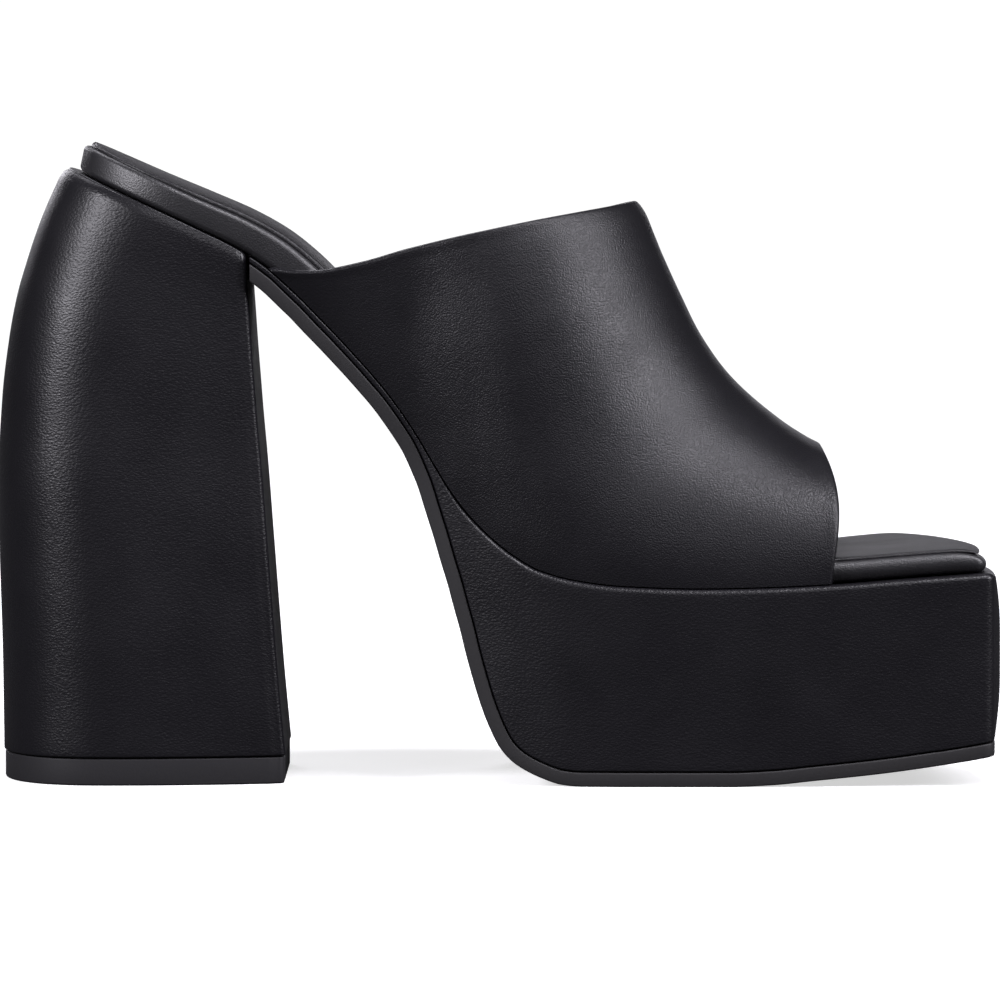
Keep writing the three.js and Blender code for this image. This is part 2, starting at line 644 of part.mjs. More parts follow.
// Outer face of the upper: `way` runs from collar to toe, `turn` from -1 at the inner feather edge
// over the crest at 0 to 1 at the outer one
const baseSteps = 200;
const upperBase = evenPlaces(lastHeight, collarBaseX, toeOpeningX, baseSteps);
function upperPoint(way, turn) {
  const place = THREE.MathUtils.clamp(way, 0, 1) * baseSteps;
  const i = Math.min(Math.floor(place), baseSteps - 1);
  const x0 = THREE.MathUtils.lerp(upperBase[i], upperBase[i + 1], place - i);
  const foot = offLine(lastHeight, x0, clearance);
  const top = crest.getPointAt(THREE.MathUtils.clamp(way, 0, 1));
  const spine = new THREE.CubicBezierCurve(
    foot,
    foot.clone().lerp(top, 1 / 3).add(new THREE.Vector2(edgeBowLow * edgeBow(way), 0)),
    foot.clone().lerp(top, 2 / 3).add(new THREE.Vector2(edgeBowHigh * edgeBow(way), 0)),
    top,
  );
  const arch = new THREE.CubicBezierCurve(
    new THREE.Vector2(1, 0),
    new THREE.Vector2(1 + bulge(way), bulgeHeight(way)),
    new THREE.Vector2(shoulder(way), 1),
    new THREE.Vector2(0, 1),
  ).getPoint(1 - Math.abs(turn));
  const p = spine.getPoint(arch.y);
  const side = turn < 0 ? -1 : 1;
  const half = side < 0 ? planInner(p.x) : planOuter(p.x);
  const y = side * (half + clearance + wall) * arch.x + (middleY(p.x) - crestInward) * arch.y ** 2;
  const fall = collarDip * dipShare(arch.y) + (turn > 0 ? collarTilt * tiltShare(arch.y) : 0);
  return new THREE.Vector3(p.x, y, p.y - collarShare(way) * fall);
}

// Inner face of the upper: the outer one moved in by the wall
const probe = 0.004;
function upperInner(way, turn) {
  const point = upperPoint(way, turn);
  if (Math.abs(turn) === 1) return point.add(new THREE.Vector3(0, -turn * wall, 0));
  const w0 = Math.max(way - probe, 0);
  const w1 = Math.min(way + probe, 1);
  const t0 = turn - probe;
  const t1 = turn + probe;
  const lengthwise = upperPoint(w1, turn).sub(upperPoint(w0, turn));
  const crosswise = upperPoint(way, Math.min(t1, 1)).sub(upperPoint(way, Math.max(t0, -1)));
  return point.add(crosswise.cross(lengthwise).normalize().multiplyScalar(wall));
}

function upperGeometry() {
  const turns = Array.from({ length: 2 * archSteps + 1 }, (_, i) => i / archSteps - 1);
  return slab(Array.from({ length: upperSections + 1 }, (_, k) => {
    const way = k / upperSections;
    return {
      over: turns.map((turn) => upperPoint(way, turn)),
      under: turns.map((turn) => upperInner(way, turn)),
    };
  }));
}

// The shoe
const leather = { color: 0x232225, roughness: 0.42, metalness: 0 };
const sockLeather = { color: 0x29282b, roughness: 0.5, metalness: 0 };
const rubber = { color: 0x2e2d31, roughness: 0.72, metalness: 0 };

const shoe = new THREE.Group();
function add(name, geometry, finish) {
  const mesh = new THREE.Mesh(geometry, new THREE.MeshStandardMaterial(finish));
  mesh.name = name;
  shoe.add(mesh);
}
add('upper', upperGeometry(), leather);
add('platform', platformGeometry(), leather);
add('outsole', outsoleGeometry(), rubber);
add('footbed_board', boardGeometry(), leather);
add('insole', insoleGeometry(), sockLeather);
add('heel', heelGeometry(), leather);
add('top_piece', topPieceGeometry(), rubber);

// Centred, and standing on the floor
const extent = new THREE.Box3().setFromObject(shoe);
const centre = extent.getCenter(new THREE.Vector3());
shoe.position.set(-centre.x, -centre.y, -extent.min.z);

export default shoe;
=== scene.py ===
"""Platform mule, left shoe: its dressed pieces, leather and rubber finishes, and studio light."""

import math

import bmesh
import bpy
import numpy as np
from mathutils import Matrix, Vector


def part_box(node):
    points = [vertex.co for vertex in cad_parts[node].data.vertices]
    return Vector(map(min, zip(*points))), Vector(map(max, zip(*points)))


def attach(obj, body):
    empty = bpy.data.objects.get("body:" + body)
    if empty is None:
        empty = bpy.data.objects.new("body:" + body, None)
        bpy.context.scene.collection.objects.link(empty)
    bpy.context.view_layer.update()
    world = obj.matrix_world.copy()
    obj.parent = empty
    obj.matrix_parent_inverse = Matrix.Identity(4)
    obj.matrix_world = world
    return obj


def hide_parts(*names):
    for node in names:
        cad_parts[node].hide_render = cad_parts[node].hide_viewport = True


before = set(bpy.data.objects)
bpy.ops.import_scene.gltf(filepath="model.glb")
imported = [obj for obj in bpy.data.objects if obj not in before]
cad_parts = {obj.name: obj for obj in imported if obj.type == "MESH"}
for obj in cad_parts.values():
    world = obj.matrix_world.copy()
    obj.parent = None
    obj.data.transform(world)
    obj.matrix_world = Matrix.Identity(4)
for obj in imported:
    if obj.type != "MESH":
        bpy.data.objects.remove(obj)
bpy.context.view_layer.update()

# Driving sizes of the shoe, in metres
MM = 0.001
LENGTH = 228.4 * MM
SEAT_HEIGHT = 140 * MM
PLATFORM_HEIGHT = 44.7 * MM
INSTEP_HEIGHT = 132.2 * MM
VAMP_HEIGHT = 75.6 * MM
SEAT_WIDTH = 53 * MM
WAIST_WIDTH = 46 * MM
BALL_WIDTH = 77 * MM
TOE_WIDTH = 70 * MM
TOE_RISE = 3.7 * MM
TOE_SPRING = 7.4 * MM

# Thicknesses and fits
WALL = 1.8 * MM
CLEARANCE = 0.3 * MM
OUTSOLE_THICKNESS = 3.2 * MM
WAIST_COVER = 1.2 * MM
BOARD_THICKNESS = 6 * MM
ARCH_THICKNESS = 7.4 * MM
SOCK_THICKNESS = 1.8 * MM
SOCK_GAP = 0.12 * MM
LEDGE = 1 * MM
EDGE_RADIUS = 1.3 * MM
SOLE_EDGE_RADIUS = 0.35 * MM

# The block heel and its top piece. HEEL_SQUARENESS is the power of its rounded back, and
# BREAST_FALL the share of its whole drop that the foot's line has fallen by at the breast
HEEL_BASE_WIDTH = 68 * MM
HEEL_TOP_WIDTH = 55.6 * MM
HEEL_BASE_BACK = 1.2 * MM
HEEL_TOP_BACK = 16.4 * MM
HEEL_DEPTH = 66.5 * MM
HEEL_BREAST_LEAN = 9 * MM
HEEL_ROUNDING = 24 * MM
HEEL_SQUARENESS = 2.3
HEEL_RIM_RADIUS = 0.4 * MM
HEEL_FOOT_RADIUS = 0.35 * MM
TOP_PIECE_THICKNESS = 6.1 * MM
TOP_PIECE_INSET = 0.3 * MM
TOP_PIECE_RADIUS = 0.5 * MM
BREAST_CORNER_RADIUS = 1.5 * MM
BREAST_FALL = 0.2

# The upper's openings, from the heel's back and from the toe, and its crest
COLLAR_BACK = 62.6 * MM
COLLAR_CREST_BACK = 146 * MM
TOE_OPENING = 38 * MM
TOE_EDGE_LEAN = 1.1 * MM
CREST_INWARD = 3 * MM
COLLAR_DIP = 2.6 * MM
COLLAR_TILT = 3.4 * MM
TOE_BOW_LOW = 1.3 * MM
TOE_BOW_HIGH = 4.7 * MM

# The footbed's two ends, and the toe's outline: a crisp inner corner, a round outer one, and a
# front that bows and slants back to the outer side from SKEW_START, a share of the length, on
BOARD_BACK = 18.7 * MM
BOARD_SETBACK = 1.8 * MM
INSOLE_INSET = 1.3 * MM
TOE_TIP_BACK = 2.4 * MM
INNER_CORNER = 2.2 * MM
OUTER_CORNER = 13 * MM
SHARPEST_CORNER = 0.2 * MM
SKEW_START = 0.7561
TOE_SKEW = 6.4 * MM
TOE_BOW = 5.4 * MM
TOE_BELLY = 1.3 * MM
BELLY_RUN = 14 * MM
TOE_ROLL_RUN = 8 * MM
ROLLED_SHARE = 0.58

# Mesh density along and round the pieces. LAST_CAP and NARROW_TIP keep the end sections open
BODY_STATIONS = 150
HEEL_END_STEPS = 26
CORNER_STEPS = 22
EDGE_RINGS = 9
PANEL_RINGS = 24
PANEL_CROWDING = 1.5
LINE_SAMPLES = 2000
LAST_CAP = 0.02
NARROW_TIP = 0.985
WELD = 0.002 * MM
SHARP_ANGLE = math.radians(38)


def along(share):
    """x of a share of the length, from the heel's back to the front."""
    return (share - 0.5) * LENGTH


# Places along the shoe, from its middle
FRONT_X = LENGTH / 2
BREAST_X = HEEL_DEPTH - FRONT_X
COLLAR_BASE_X = COLLAR_BACK - FRONT_X
COLLAR_CREST_X = COLLAR_CREST_BACK - FRONT_X
TOE_OPENING_X = FRONT_X - TOE_OPENING
SOLE_END_X = FRONT_X - TOE_TIP_BACK
BOARD_END_X = SOLE_END_X - BOARD_SETBACK
BOARD_TURN_X = BOARD_BACK - FRONT_X + HEEL_ROUNDING
SKEW_START_X = along(SKEW_START)


def lerp(a, b, t):
    return a + (b - a) * t


def smoothstep(x, low, high):
    t = np.clip((x - low) / (high - low), 0, 1)
    return t * t * (3 - 2 * t)


def table(columns, *rows):
    """A table with named columns, one tuple for each row."""
    return {
        name: np.array([row[i] for row in rows], float)
        for i, name in enumerate(columns.split())
    }


def follow(rows, key, column):
    """Monotone cubic through one column of a table, as a function of another column."""
    xs, ys = rows[key], rows[column]
    steps = np.diff(ys) / np.diff(xs)
    slopes = np.concatenate([steps[:1], np.zeros(len(xs) - 2), steps[-1:]])
    before, after = steps[:-1], steps[1:]
    same = before * after > 0
    slopes[1:-1][same] = 2 / (1 / before[same] + 1 / after[same])

    def value(x):
        x = np.asarray(x, float)
        i = np.clip(np.searchsorted(xs, x) - 1, 0, len(xs) - 2)
        h = xs[i + 1] - xs[i]
        t = np.clip((x - xs[i]) / h, 0, 1)
        rise = (3 - 2 * t) * t * t
        lean = h * t * (1 - t) * (slopes[i] * (1 - t) - slopes[i + 1] * t)
        y = lerp(ys[i], ys[i + 1], rise) + lean
        return y + slopes[0] * np.minimum(x - xs[0], 0) + slopes[-1] * np.maximum(x - xs[-1], 0)

    return value


def by_length(rows):
    """The same table with its x column turned from shares of the length into places."""
    return {name: along(values) if name == "x" else values for name, values in rows.items()}


# The foot's line in side view: under the board at the heel, along the feather edge to the toe
LAST = by_length(table(
    "x fall rise",
    (0.0663, -0.002, 0),
    (0.0845, 0.016, 0),
    (0.1157, 0.05, 0),
    (0.1539, 0.092, 0),
    (0.2003, 0.144, 0),
    (0.2426, 0.194, 0),
    (0.2687, 0.234, 0),
    (0.2949, 0.2885, 0),
    (0.3191, 0.3465, 0),
    (0.3453, 0.412, 0),
    (0.3664, 0.467, 0),
    (0.3856, 0.52, 0),
    (0.4037, 0.577, 0),
    (0.4218, 0.642, 0),
    (0.4379, 0.707, 0),
    (0.453, 0.766, 0),
    (0.4671, 0.812, 0),
    (0.4822, 0.852, 0),
    (0.4993, 0.89, 0),
    (0.5175, 0.923, 0),
    (0.5426, 0.957, 0),
    (0.5799, 0.981, 0),
    (0.6252, 0.994, 0),
    (0.7028, 1, 0),
    (0.7632, 1, 0.07),
    (0.8427, 1, 0.3),
    (0.8991, 1, 0.57),
    (0.9475, 1, 0.79),
    (1, 1, 1),
))
DROP = SEAT_HEIGHT - PLATFORM_HEIGHT
SLOPE_STEP = 0.05 * MM
last_fall = follow(LAST, "x", "fall")
last_rise = follow(LAST, "x", "rise")


def last_height(x):
    return SEAT_HEIGHT - DROP * last_fall(x) + TOE_RISE * last_rise(x)


def slope_of(height, x):
    return (height(x + SLOPE_STEP) - height(x - SLOPE_STEP)) / (2 * SLOPE_STEP)


# The underside of the outsole: `open` is the share of the height under the foot that stays open
UNDERSIDE = by_length(table(
    "x open spring",
    (0.2526, 1, 0),
    (0.4037, 1, 0),
    (0.4218, 0.972, 0),
    (0.4299, 0.937, 0),
    (0.4374, 0.893, 0),
    (0.4445, 0.841, 0),
    (0.4515, 0.782, 0),
    (0.4576, 0.713, 0),
    (0.4641, 0.638, 0),
    (0.4701, 0.55, 0),
    (0.4767, 0.461, 0),
    (0.4842, 0.365, 0),
    (0.4933, 0.268, 0),
    (0.5039, 0.18, 0),
    (0.5165, 0.118, 0),
    (0.5306, 0.076, 0),
    (0.5467, 0.04, 0),
    (0.5648, 0.01, 0),
    (0.5849, 0, 0),
    (0.732, 0, 0),
    (0.7763, 0, 0.06),
    (0.8115, 0, 0.17),
    (0.877, 0, 0.38),
    (0.9424, 0, 0.66),
    (0.9908, 0, 0.92),
    (1, 0, 1),
))
open_share = follow(UNDERSIDE, "x", "open")
spring_share = follow(UNDERSIDE, "x", "spring")
WAIST_STACK = OUTSOLE_THICKNESS + WAIST_COVER + CLEARANCE


def underside(x):
    stack = WAIST_STACK * np.hypot(1, slope_of(last_height, x))
    return open_share(x) * (last_height(x) - stack) + TOE_SPRING * spring_share(x)


# The board's outline from above: distances from the heel's middle line to each side, as shares
# of the width that the last column names: 0 seat, 1 waist, 2 ball, 3 toe
PLAN = by_length(table(
    "x inner outer width",
    (0.0613, 0.5, 0.5, 0),
    (0.1922, 0.5, 0.5, 0),
    (0.2426, 0.491, 0.483, 0),
    (0.2929, 0.536, 0.513, 1),
    (0.3533, 0.512, 0.474, 1),
    (0.4137, 0.526, 0.483, 1),
    (0.4691, 0.355, 0.35, 2),
    (0.5215, 0.4, 0.435, 2),
    (0.5749, 0.43, 0.505, 2),
    (0.6353, 0.443, 0.545, 2),
    (0.7058, 0.445, 0.56, 2),
    (0.7662, 0.444, 0.557, 2),
    (0.8327, 0.48, 0.6, 3),
    (0.8971, 0.468, 0.584, 3),
    (0.9505, 0.457, 0.57, 3),
    (1, 0.445, 0.558, 3),
))
NAMED_WIDTHS = np.array([SEAT_WIDTH, WAIST_WIDTH, BALL_WIDTH, TOE_WIDTH])
for side_name in ("inner", "outer"):
    PLAN[side_name] = PLAN[side_name] * NAMED_WIDTHS[PLAN["width"].astype(int)]
plan_inner = follow(PLAN, "x", "inner")
plan_outer = follow(PLAN, "x", "outer")

# How much of the ledge round the upper the platform and outsole have: all of it at the forefoot
LEDGE_SHARES = by_length(table("x share", (0.4037, 0), (0.5044, 1), (1, 1)))
ledge_share = follow(LEDGE_SHARES, "x", "share")


def middle_y(x):
    return 0.5 * (plan_outer(x) - plan_inner(x))


def beside_upper(x):
    """How far the platform and outsole reach past the board's outline."""
    return CLEARANCE + WALL + LEDGE * np.clip(ledge_share(x), 0, 1)


def even_places(line, start, end, count):
    """Places from start to end, even along a side-view line."""
    xs = np.linspace(start, end, LINE_SAMPLES + 1)
    run = np.concatenate([[0], np.cumsum(np.hypot(np.diff(xs), np.diff(line(xs))))])
    return np.interp(np.linspace(0, run[-1], count + 1), run, xs)


# Zones of a piece's stations: round heel end, body, toe corner
HEEL_END, BODY, CORNER = range(3)
QUARTER = math.pi / 2


def stations_of(line, start, end, round_heel=False, panel=0.0):
    """Stations of a piece from heel to toe, as arrays. `value` is x in the body, and the share of
    the way round in an end. At an end the last station is repeated: `cap` is the most of the
    edge's round that it keeps, and `smaller` how far in a front panel's rings lie."""
    caps = np.linspace(QUARTER, LAST_CAP, EDGE_RINGS + 1)[1:]
    rings = np.array([])
    if panel:
        rings = panel * (np.arange(1, PANEL_RINGS + 1) / PANEL_RINGS) ** PANEL_CROWDING
    heel = np.linspace(NARROW_TIP, 0, HEEL_END_STEPS + 1)[:-1]
    parts = [
        (BODY, even_places(line, start, end - OUTER_CORNER, BODY_STATIONS), QUARTER, 0),
        (CORNER, np.linspace(0, 1, CORNER_STEPS + 1)[1:], QUARTER, 0),
        (CORNER, 0 * caps + 1, caps, 0),
        (CORNER, 0 * rings + 1, 0, rings),
    ]
    if round_heel:
        parts = [
            (HEEL_END, 0 * caps + NARROW_TIP, caps[::-1], 0),
            (HEEL_END, heel, QUARTER, 0),
        ] + parts
    return {
        "zone": np.concatenate([np.full(len(values), zone) for zone, values, _, _ in parts]),
        "value": np.concatenate([values for _, values, _, _ in parts]),
        "cap": np.concatenate([0 * values + cap for _, values, cap, _ in parts]),
        "smaller": np.concatenate([0 * values + smaller for _, values, _, smaller in parts]),
        "start": start,
        "end": end,
    }


def station_x(stations, inset=0.0):
    """x of the stations when their outline is moved in by `inset`."""
    zone, value = stations["zone"], stations["value"]
    sine = np.sin(QUARTER * np.where(zone == BODY, 0, value))
    heel_x = stations["start"] - (HEEL_ROUNDING - inset) * sine ** (2 / HEEL_SQUARENESS)
    corner_x = stations["end"] - inset - (OUTER_CORNER - inset) * (1 - sine)
    return np.where(zone == BODY, value, np.where(zone == HEEL_END, heel_x, corner_x))


def half_width(stations, side, out, inset, body_x):
    """The middle's y, the width from there to one side (-1 inner, 1 outer), and its share of the
    full width, with the sides moved out by `out` less `inset`."""
    zone, value = stations["zone"], stations["value"]
    x = np.where(zone == BODY, body_x, station_x(stations, inset))
    middle = middle_y(x)
    plan = plan_inner(x) if side < 0 else plan_outer(x)
    full = plan + out - inset - side * middle
    corner = np.maximum((INNER_CORNER if side < 0 else OUTER_CORNER) - inset, SHARPEST_CORNER)
    into = np.clip((x - stations["end"] + inset) / corner + 1, 0, 1)
    width = full - corner * (1 - np.sqrt(1 - into ** 2))
    cosine = np.cos(QUARTER * np.where(zone == HEEL_END, value, 0))
    width = np.where(zone == HEEL_END, full * cosine ** (2 / HEEL_SQUARENESS), width)
    return middle, width, width / full


def across(stations, share, out, inset, x, z, shrink=1.0):
    """Points at a share of the half width (-1 inner side, 1 outer), at places in side view. The
    toe's front bows, and lies further back on the outer side."""
    middle, width, part = half_width(stations, -1 if share < 0 else 1, out, inset, x)
    part = share * shrink * part
    back = (TOE_SKEW * part + TOE_BOW * part ** 2) * smoothstep(x, SKEW_START_X, FRONT_X)
    return np.stack([x - back, middle + share * shrink * width, z], -1)


def edge_inset(stations, angle, radius):
    """How far a rounded edge lies in at an angle, and how far below its flat."""
    angle = np.minimum(angle, stations["cap"])
    return radius * (1 - np.cos(angle)), radius * (1 - np.sin(angle))


# The heel's side view and half width, by the share of the height from its base to the seat. `low`
# and `high` are shares of the base's and the top's set-back, `base` and `top` of their widths
HEEL = table(
    "up low high lean base top front",
    (0, 1, 0, 0, 0.5, 0, 0.82),
    (0.16, 0.75, 0, 0.18, 0.496, 0, 0.83),
    (0.335, 0.17, 0, 0.35, 0.484, 0, 0.85),
    (0.44, 0, 0, 0.45, 0.474, 0, 0.865),
    (0.576, 0, 0.055, 0.58, 0, 0.556, 0.885),
    (0.68, 0, 0.158, 0.7, 0, 0.541, 0.9),
    (0.749, 0, 0.262, 0.77, 0, 0.531, 0.91),
    (0.818, 0, 0.415, 0.84, 0, 0.52, 0.925),
    (0.887, 0, 0.59, 0.9, 0, 0.511, 0.935),
    (0.956, 0, 0.8, 0.965, 0, 0.504, 0.95),
    (0.985, 0, 0.9, 0.99, 0, 0.5, 0.955),
    (1, 0, 1, 1, 0, 0.49, 0.955),
)
HEEL["back"] = HEEL["low"] * HEEL_BASE_BACK + HEEL["high"] * HEEL_TOP_BACK
HEEL["half"] = HEEL["base"] * HEEL_BASE_WIDTH + HEEL["top"] * HEEL_TOP_WIDTH
heel_back = follow(HEEL, "up", "back")
heel_lean = follow(HEEL, "up", "lean")
heel_half = follow(HEEL, "up", "half")
heel_front = follow(HEEL, "up", "front")
HEEL_BASE = TOP_PIECE_THICKNESS + CLEARANCE


def breast_at(up):
    """x of the heel's breast at a share of the height."""
    return BREAST_X - HEEL_BREAST_LEAN * heel_lean(up)


def breast_x(z):
    return breast_at((z - HEEL_BASE) / (SEAT_HEIGHT - DROP * BREAST_FALL - HEEL_BASE))


SOLE_TOP = last_height(BREAST_X - HEEL_BREAST_LEAN)
SOLE_START = float(breast_x(SOLE_TOP - 2 * WAIST_STACK) + CLEARANCE)
UPRIGHT_RUN = 8 * MM


def off_line(height, x, offset, start=SOLE_START, upright=UPRIGHT_RUN):
    """x and z of points off a side-view line: square to it, but upright where the piece starts."""
    slope = slope_of(height, x)
    square = np.hypot(slope, 1)
    square_x, square_z = -slope / square, 1 / square
    way_x = square_x * smoothstep(x, start, start + upright)
    way = np.hypot(way_x, square_z)
    way_x, way_z = way_x / way, square_z / way
    reach = offset / (way_x * square_x + way_z * square_z)
    return x + way_x * reach, height(x) + way_z * reach


def off_foot(x, offset):
    """Points off the foot's line for the footbed: upright at the back of the seat."""
    return off_line(last_height, x, offset, BOARD_TURN_X - 2 * HEEL_ROUNDING, 2 * HEEL_ROUNDING)


# Making meshes. TO_FRAME moves this script's origin to the frame's, by the top piece's middle
HEEL_MIDDLE = 0.5 * (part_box("top_piece")[0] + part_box("top_piece")[1])
TOP_PIECE_MIDDLE_X = 0.5 * (BREAST_X - TOP_PIECE_INSET - FRONT_X + HEEL_BASE_BACK + TOP_PIECE_INSET)
TO_FRAME = Vector((HEEL_MIDDLE.x - TOP_PIECE_MIDDLE_X, HEEL_MIDDLE.y, 0))


def closed_strip(sections, columns):
    """Quads of a closed body whose sections are rings of `columns` points over and under."""
    ring = 2 * columns
    corner = np.arange(sections - 1)[:, None] * ring + np.arange(ring)[None, :]
    beside = np.arange(sections - 1)[:, None] * ring + (np.arange(ring)[None, :] + 1) % ring
    sides = np.stack([corner, beside, beside + ring, corner + ring], -1).reshape(-1, 4)
    over = np.arange(columns - 1)
    start = np.stack([over, ring - 1 - over, ring - 2 - over, over + 1], -1)
    end = start[:, ::-1] + (sections - 1) * ring
    return np.concatenate([sides, start, end])


def weld(mesh):
    """Joins points that coincide, and drops the faces that this leaves without area."""
    work = bmesh.new()
    work.from_mesh(mesh)
    bmesh.ops.remove_doubles(work, verts=work.verts, dist=WELD)
    bmesh.ops.dissolve_degenerate(work, dist=WELD, edges=work.edges)
    work.to_mesh(mesh)
    work.free()


def shares_across(reach, count):
    """Shares of the half width from one side to the other."""
    return np.linspace(-reach, reach, count)


def round_angles(count, first=0):
    """Angles of a rounded edge from its side to its flat, given the first one in degrees."""
    return np.radians(np.linspace(first, 90, count))


def section_row(at, angles, shares, level):
    """Points round a section's near edge, across its flat and round its far edge."""
    near = [at(-1, angle, level) for angle in angles]
    flat = [at(share, QUARTER, level) for share in shares]
    far = [at(1, angle, level) for angle in angles[::-1]]
    return np.stack(near + flat + far, 1)


def piece(name, over, under, materials, node, mark=None):
    """Closed smooth mesh from an over and an under row of points at each section. `mark` gives
    each face the number of its material."""
    points = np.concatenate([over, under[:, ::-1]], 1)
    sections, ring = points.shape[:2]
    mesh = bpy.data.meshes.new(name)
    points = points.reshape(-1, 3) + np.array(TO_FRAME)
    mesh.from_pydata(points.tolist(), [], closed_strip(sections, ring // 2).tolist())
    if mark is not None:
        mesh.polygons.foreach_set("material_index", mark(len(mesh.polygons), sections, ring))
    mesh.update()
    weld(mesh)
    if volume_of(mesh) < 0:
        mesh.flip_normals()
    for polygon in mesh.polygons:
        polygon.use_smooth = True
    mesh.set_sharp_from_angle(angle=SHARP_ANGLE)
    for material in materials:
        mesh.materials.append(material)
    obj = bpy.data.objects.new(name, mesh)
    bpy.context.scene.collection.objects.link(obj)
    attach(obj, "root")
    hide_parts(node)
    return obj


def volume_of(mesh):
    mesh.calc_loop_triangles()
    points = np.empty(len(mesh.vertices) * 3)
    mesh.vertices.foreach_get("co", points)
    corners = np.empty(len(mesh.loop_triangles) * 3, int)
    mesh.loop_triangles.foreach_get("vertices", corners)
    a, b, c = points.reshape(-1, 3)[corners.reshape(-1, 3)].transpose(1, 0, 2)
    return np.einsum("ij,ij->i", a, np.cross(b, c)).sum() / 6


# Footbed board: a leather-wrapped board with a pillowed side. `seat` and `arch` are shares of its
# two thicknesses, and `round` is the share of its thickness that its edges are rounded by
BOARD = by_length(table(
    "x seat arch round",
    (0.0613, 1, 0, 0.2),
    (0.1721, 1, 0, 0.2),
    (0.2426, 0.55, 0.45, 0.22),
    (0.303, 0, 1, 0.25),
    (0.3735, 0, 1, 0.3),
    (0.4641, 1, 0, 0.4),
    (0.6856, 0.9, 0, 0.45),
    (0.8367, 0.85, 0, 0.48),
    (1, 0.85, 0, 0.48),
))
BOARD["thick"] = BOARD["seat"] * BOARD_THICKNESS + BOARD["arch"] * ARCH_THICKNESS
board_thick = follow(BOARD, "x", "thick")
board_round = follow(BOARD, "x", "round")
BOARD_SHARES = shares_across(0.94, 31)
BOARD_ANGLES = round_angles(12, first=2)


def toe_roll(x):
    """The share of the board's thickness that is left where its front rolls down."""
    into = np.clip((x - BOARD_END_X) / TOE_ROLL_RUN + 1, 0, 1)
    return ROLLED_SHARE + (1 - ROLLED_SHARE) * np.sqrt(1 - into ** 2)


def footbed_stations():
    return stations_of(last_height, BOARD_TURN_X, BOARD_END_X, round_heel=True)


def board(materials):
    stations = footbed_stations()
    x = station_x(stations)
    thick = board_thick(x) * toe_roll(x)
    radius = board_round(x) * thick

    def at(share, angle, sign):
        inset, below = edge_inset(stations, angle, radius)
        height = 0.5 * thick + sign * (0.5 * thick - below)
        place = off_foot(station_x(stations, inset), CLEARANCE + height)
        return across(stations, share, 0, inset, *place)

    over, under = (section_row(at, BOARD_ANGLES, BOARD_SHARES, sign) for sign in (1, -1))
    piece("board_wrapped", over, under, materials, "footbed_board")


# Insole: a sock with a crown and a rounded edge, thinner to the toe, that follows the board's edge
# down. SOCK_EDGE is the share of its thickness at its edge, SOCK_ROUND the rounded share of that
SOCK = by_length(table(
    "x thick",
    (0.0613, 0.65),
    (0.14, 0.7),
    (0.2, 0.95),
    (0.32, 1),
    (0.47, 0.7),
    (0.7, 0.5),
    (0.85, 0.4),
    (1, 0.35),
))
sock_thick = follow(SOCK, "x", "thick")
SOCK_EDGE = 0.55
SOCK_ROUND = 0.85
SOCK_SHARES = shares_across(0.97, 41)
SOCK_ANGLES = round_angles(8)


def insole(materials):
    stations = footbed_stations()
    x = station_x(stations, INSOLE_INSET)
    thick = SOCK_THICKNESS * sock_thick(x)
    radius = SOCK_ROUND * SOCK_EDGE * thick
    board_height = board_thick(x) * toe_roll(x)
    board_radius = board_round(x) * board_height
    base = CLEARANCE + SOCK_GAP + board_height

    def at(share, angle, top):
        inset, below = edge_inset(stations, angle, radius)
        inset = INSOLE_INSET + inset * top
        crown = SOCK_EDGE + (1 - SOCK_EDGE) * (1 - share ** 4) * (stations["cap"] / QUARTER)
        width = half_width(stations, -1 if share < 0 else 1, 0, inset, x)[1]
        over_round = np.clip(1 - (inset + (1 - abs(share)) * width) / board_radius, 0, 1)
        fall = board_radius * (1 - np.sqrt(1 - over_round ** 2))
        height = base - fall + top * (thick * crown - below)
        return across(stations, share, 0, inset, *off_foot(station_x(stations, inset), height))

    over, under = (section_row(at, SOCK_ANGLES, SOCK_SHARES, top) for top in (1, 0))
    sock = piece("sock", over, under, materials, "insole")


# Outsole: a rubber sheet with slightly rounded edges
SOLE_SHARES = shares_across(0.97, 31)
SOLE_ANGLES = round_angles(5)


def outsole(materials):
    stations = stations_of(underside, SOLE_START, SOLE_END_X)

    def at(share, angle, top):
        inset, below = edge_inset(stations, angle, SOLE_EDGE_RADIUS)
        x = station_x(stations, inset)
        place_x, z = off_line(underside, x, OUTSOLE_THICKNESS - below if top else below)
        place_x = np.where(stations["zone"] == BODY, place_x, x)
        return across(stations, share, beside_upper(place_x), inset, place_x, z)

    over, under = (section_row(at, SOLE_ANGLES, SOLE_SHARES, top) for top in (True, False))
    piece("outsole_rubber", over, under, materials, "outsole")


# Platform: the covered block. Each section joins a place on the outsole's line to one on the
# foot's. PANEL_SHARE is the share of the front's height that the panel's rings close in by
PLATFORM = by_length(table(
    "x top",
    (0.2859, 0.2959),
    (0.3181, 0.3342),
    (0.3624, 0.379),
    (0.3981, 0.4163),
    (0.4117, 0.4334),
    (0.4223, 0.448),
    (0.4299, 0.4621),
    (0.4374, 0.4757),
    (0.4445, 0.4868),
    (0.4576, 0.5079),
    (0.4701, 0.5265),
    (0.4842, 0.5467),
    (0.5039, 0.5724),
    (0.5306, 0.6031),
    (0.5648, 0.6333),
    (0.6353, 0.6836),
    (0.7662, 0.7843),
    (0.8971, 0.9021),
    (0.9374, 0.9374),
    (1, 1),
))
PLATFORM = {
    "x": np.append(SOLE_START, PLATFORM["x"]),
    "top": np.append(SOLE_START, along(PLATFORM["top"])),
}
platform_top_x = follow(PLATFORM, "x", "top")
PLATFORM_SIDE_STEPS = 26
PLATFORM_EDGE_ANGLES = round_angles(8)
PLATFORM_SHARES = shares_across(0.97, 25)
PLATFORM_FOOT_REACH = 0.99
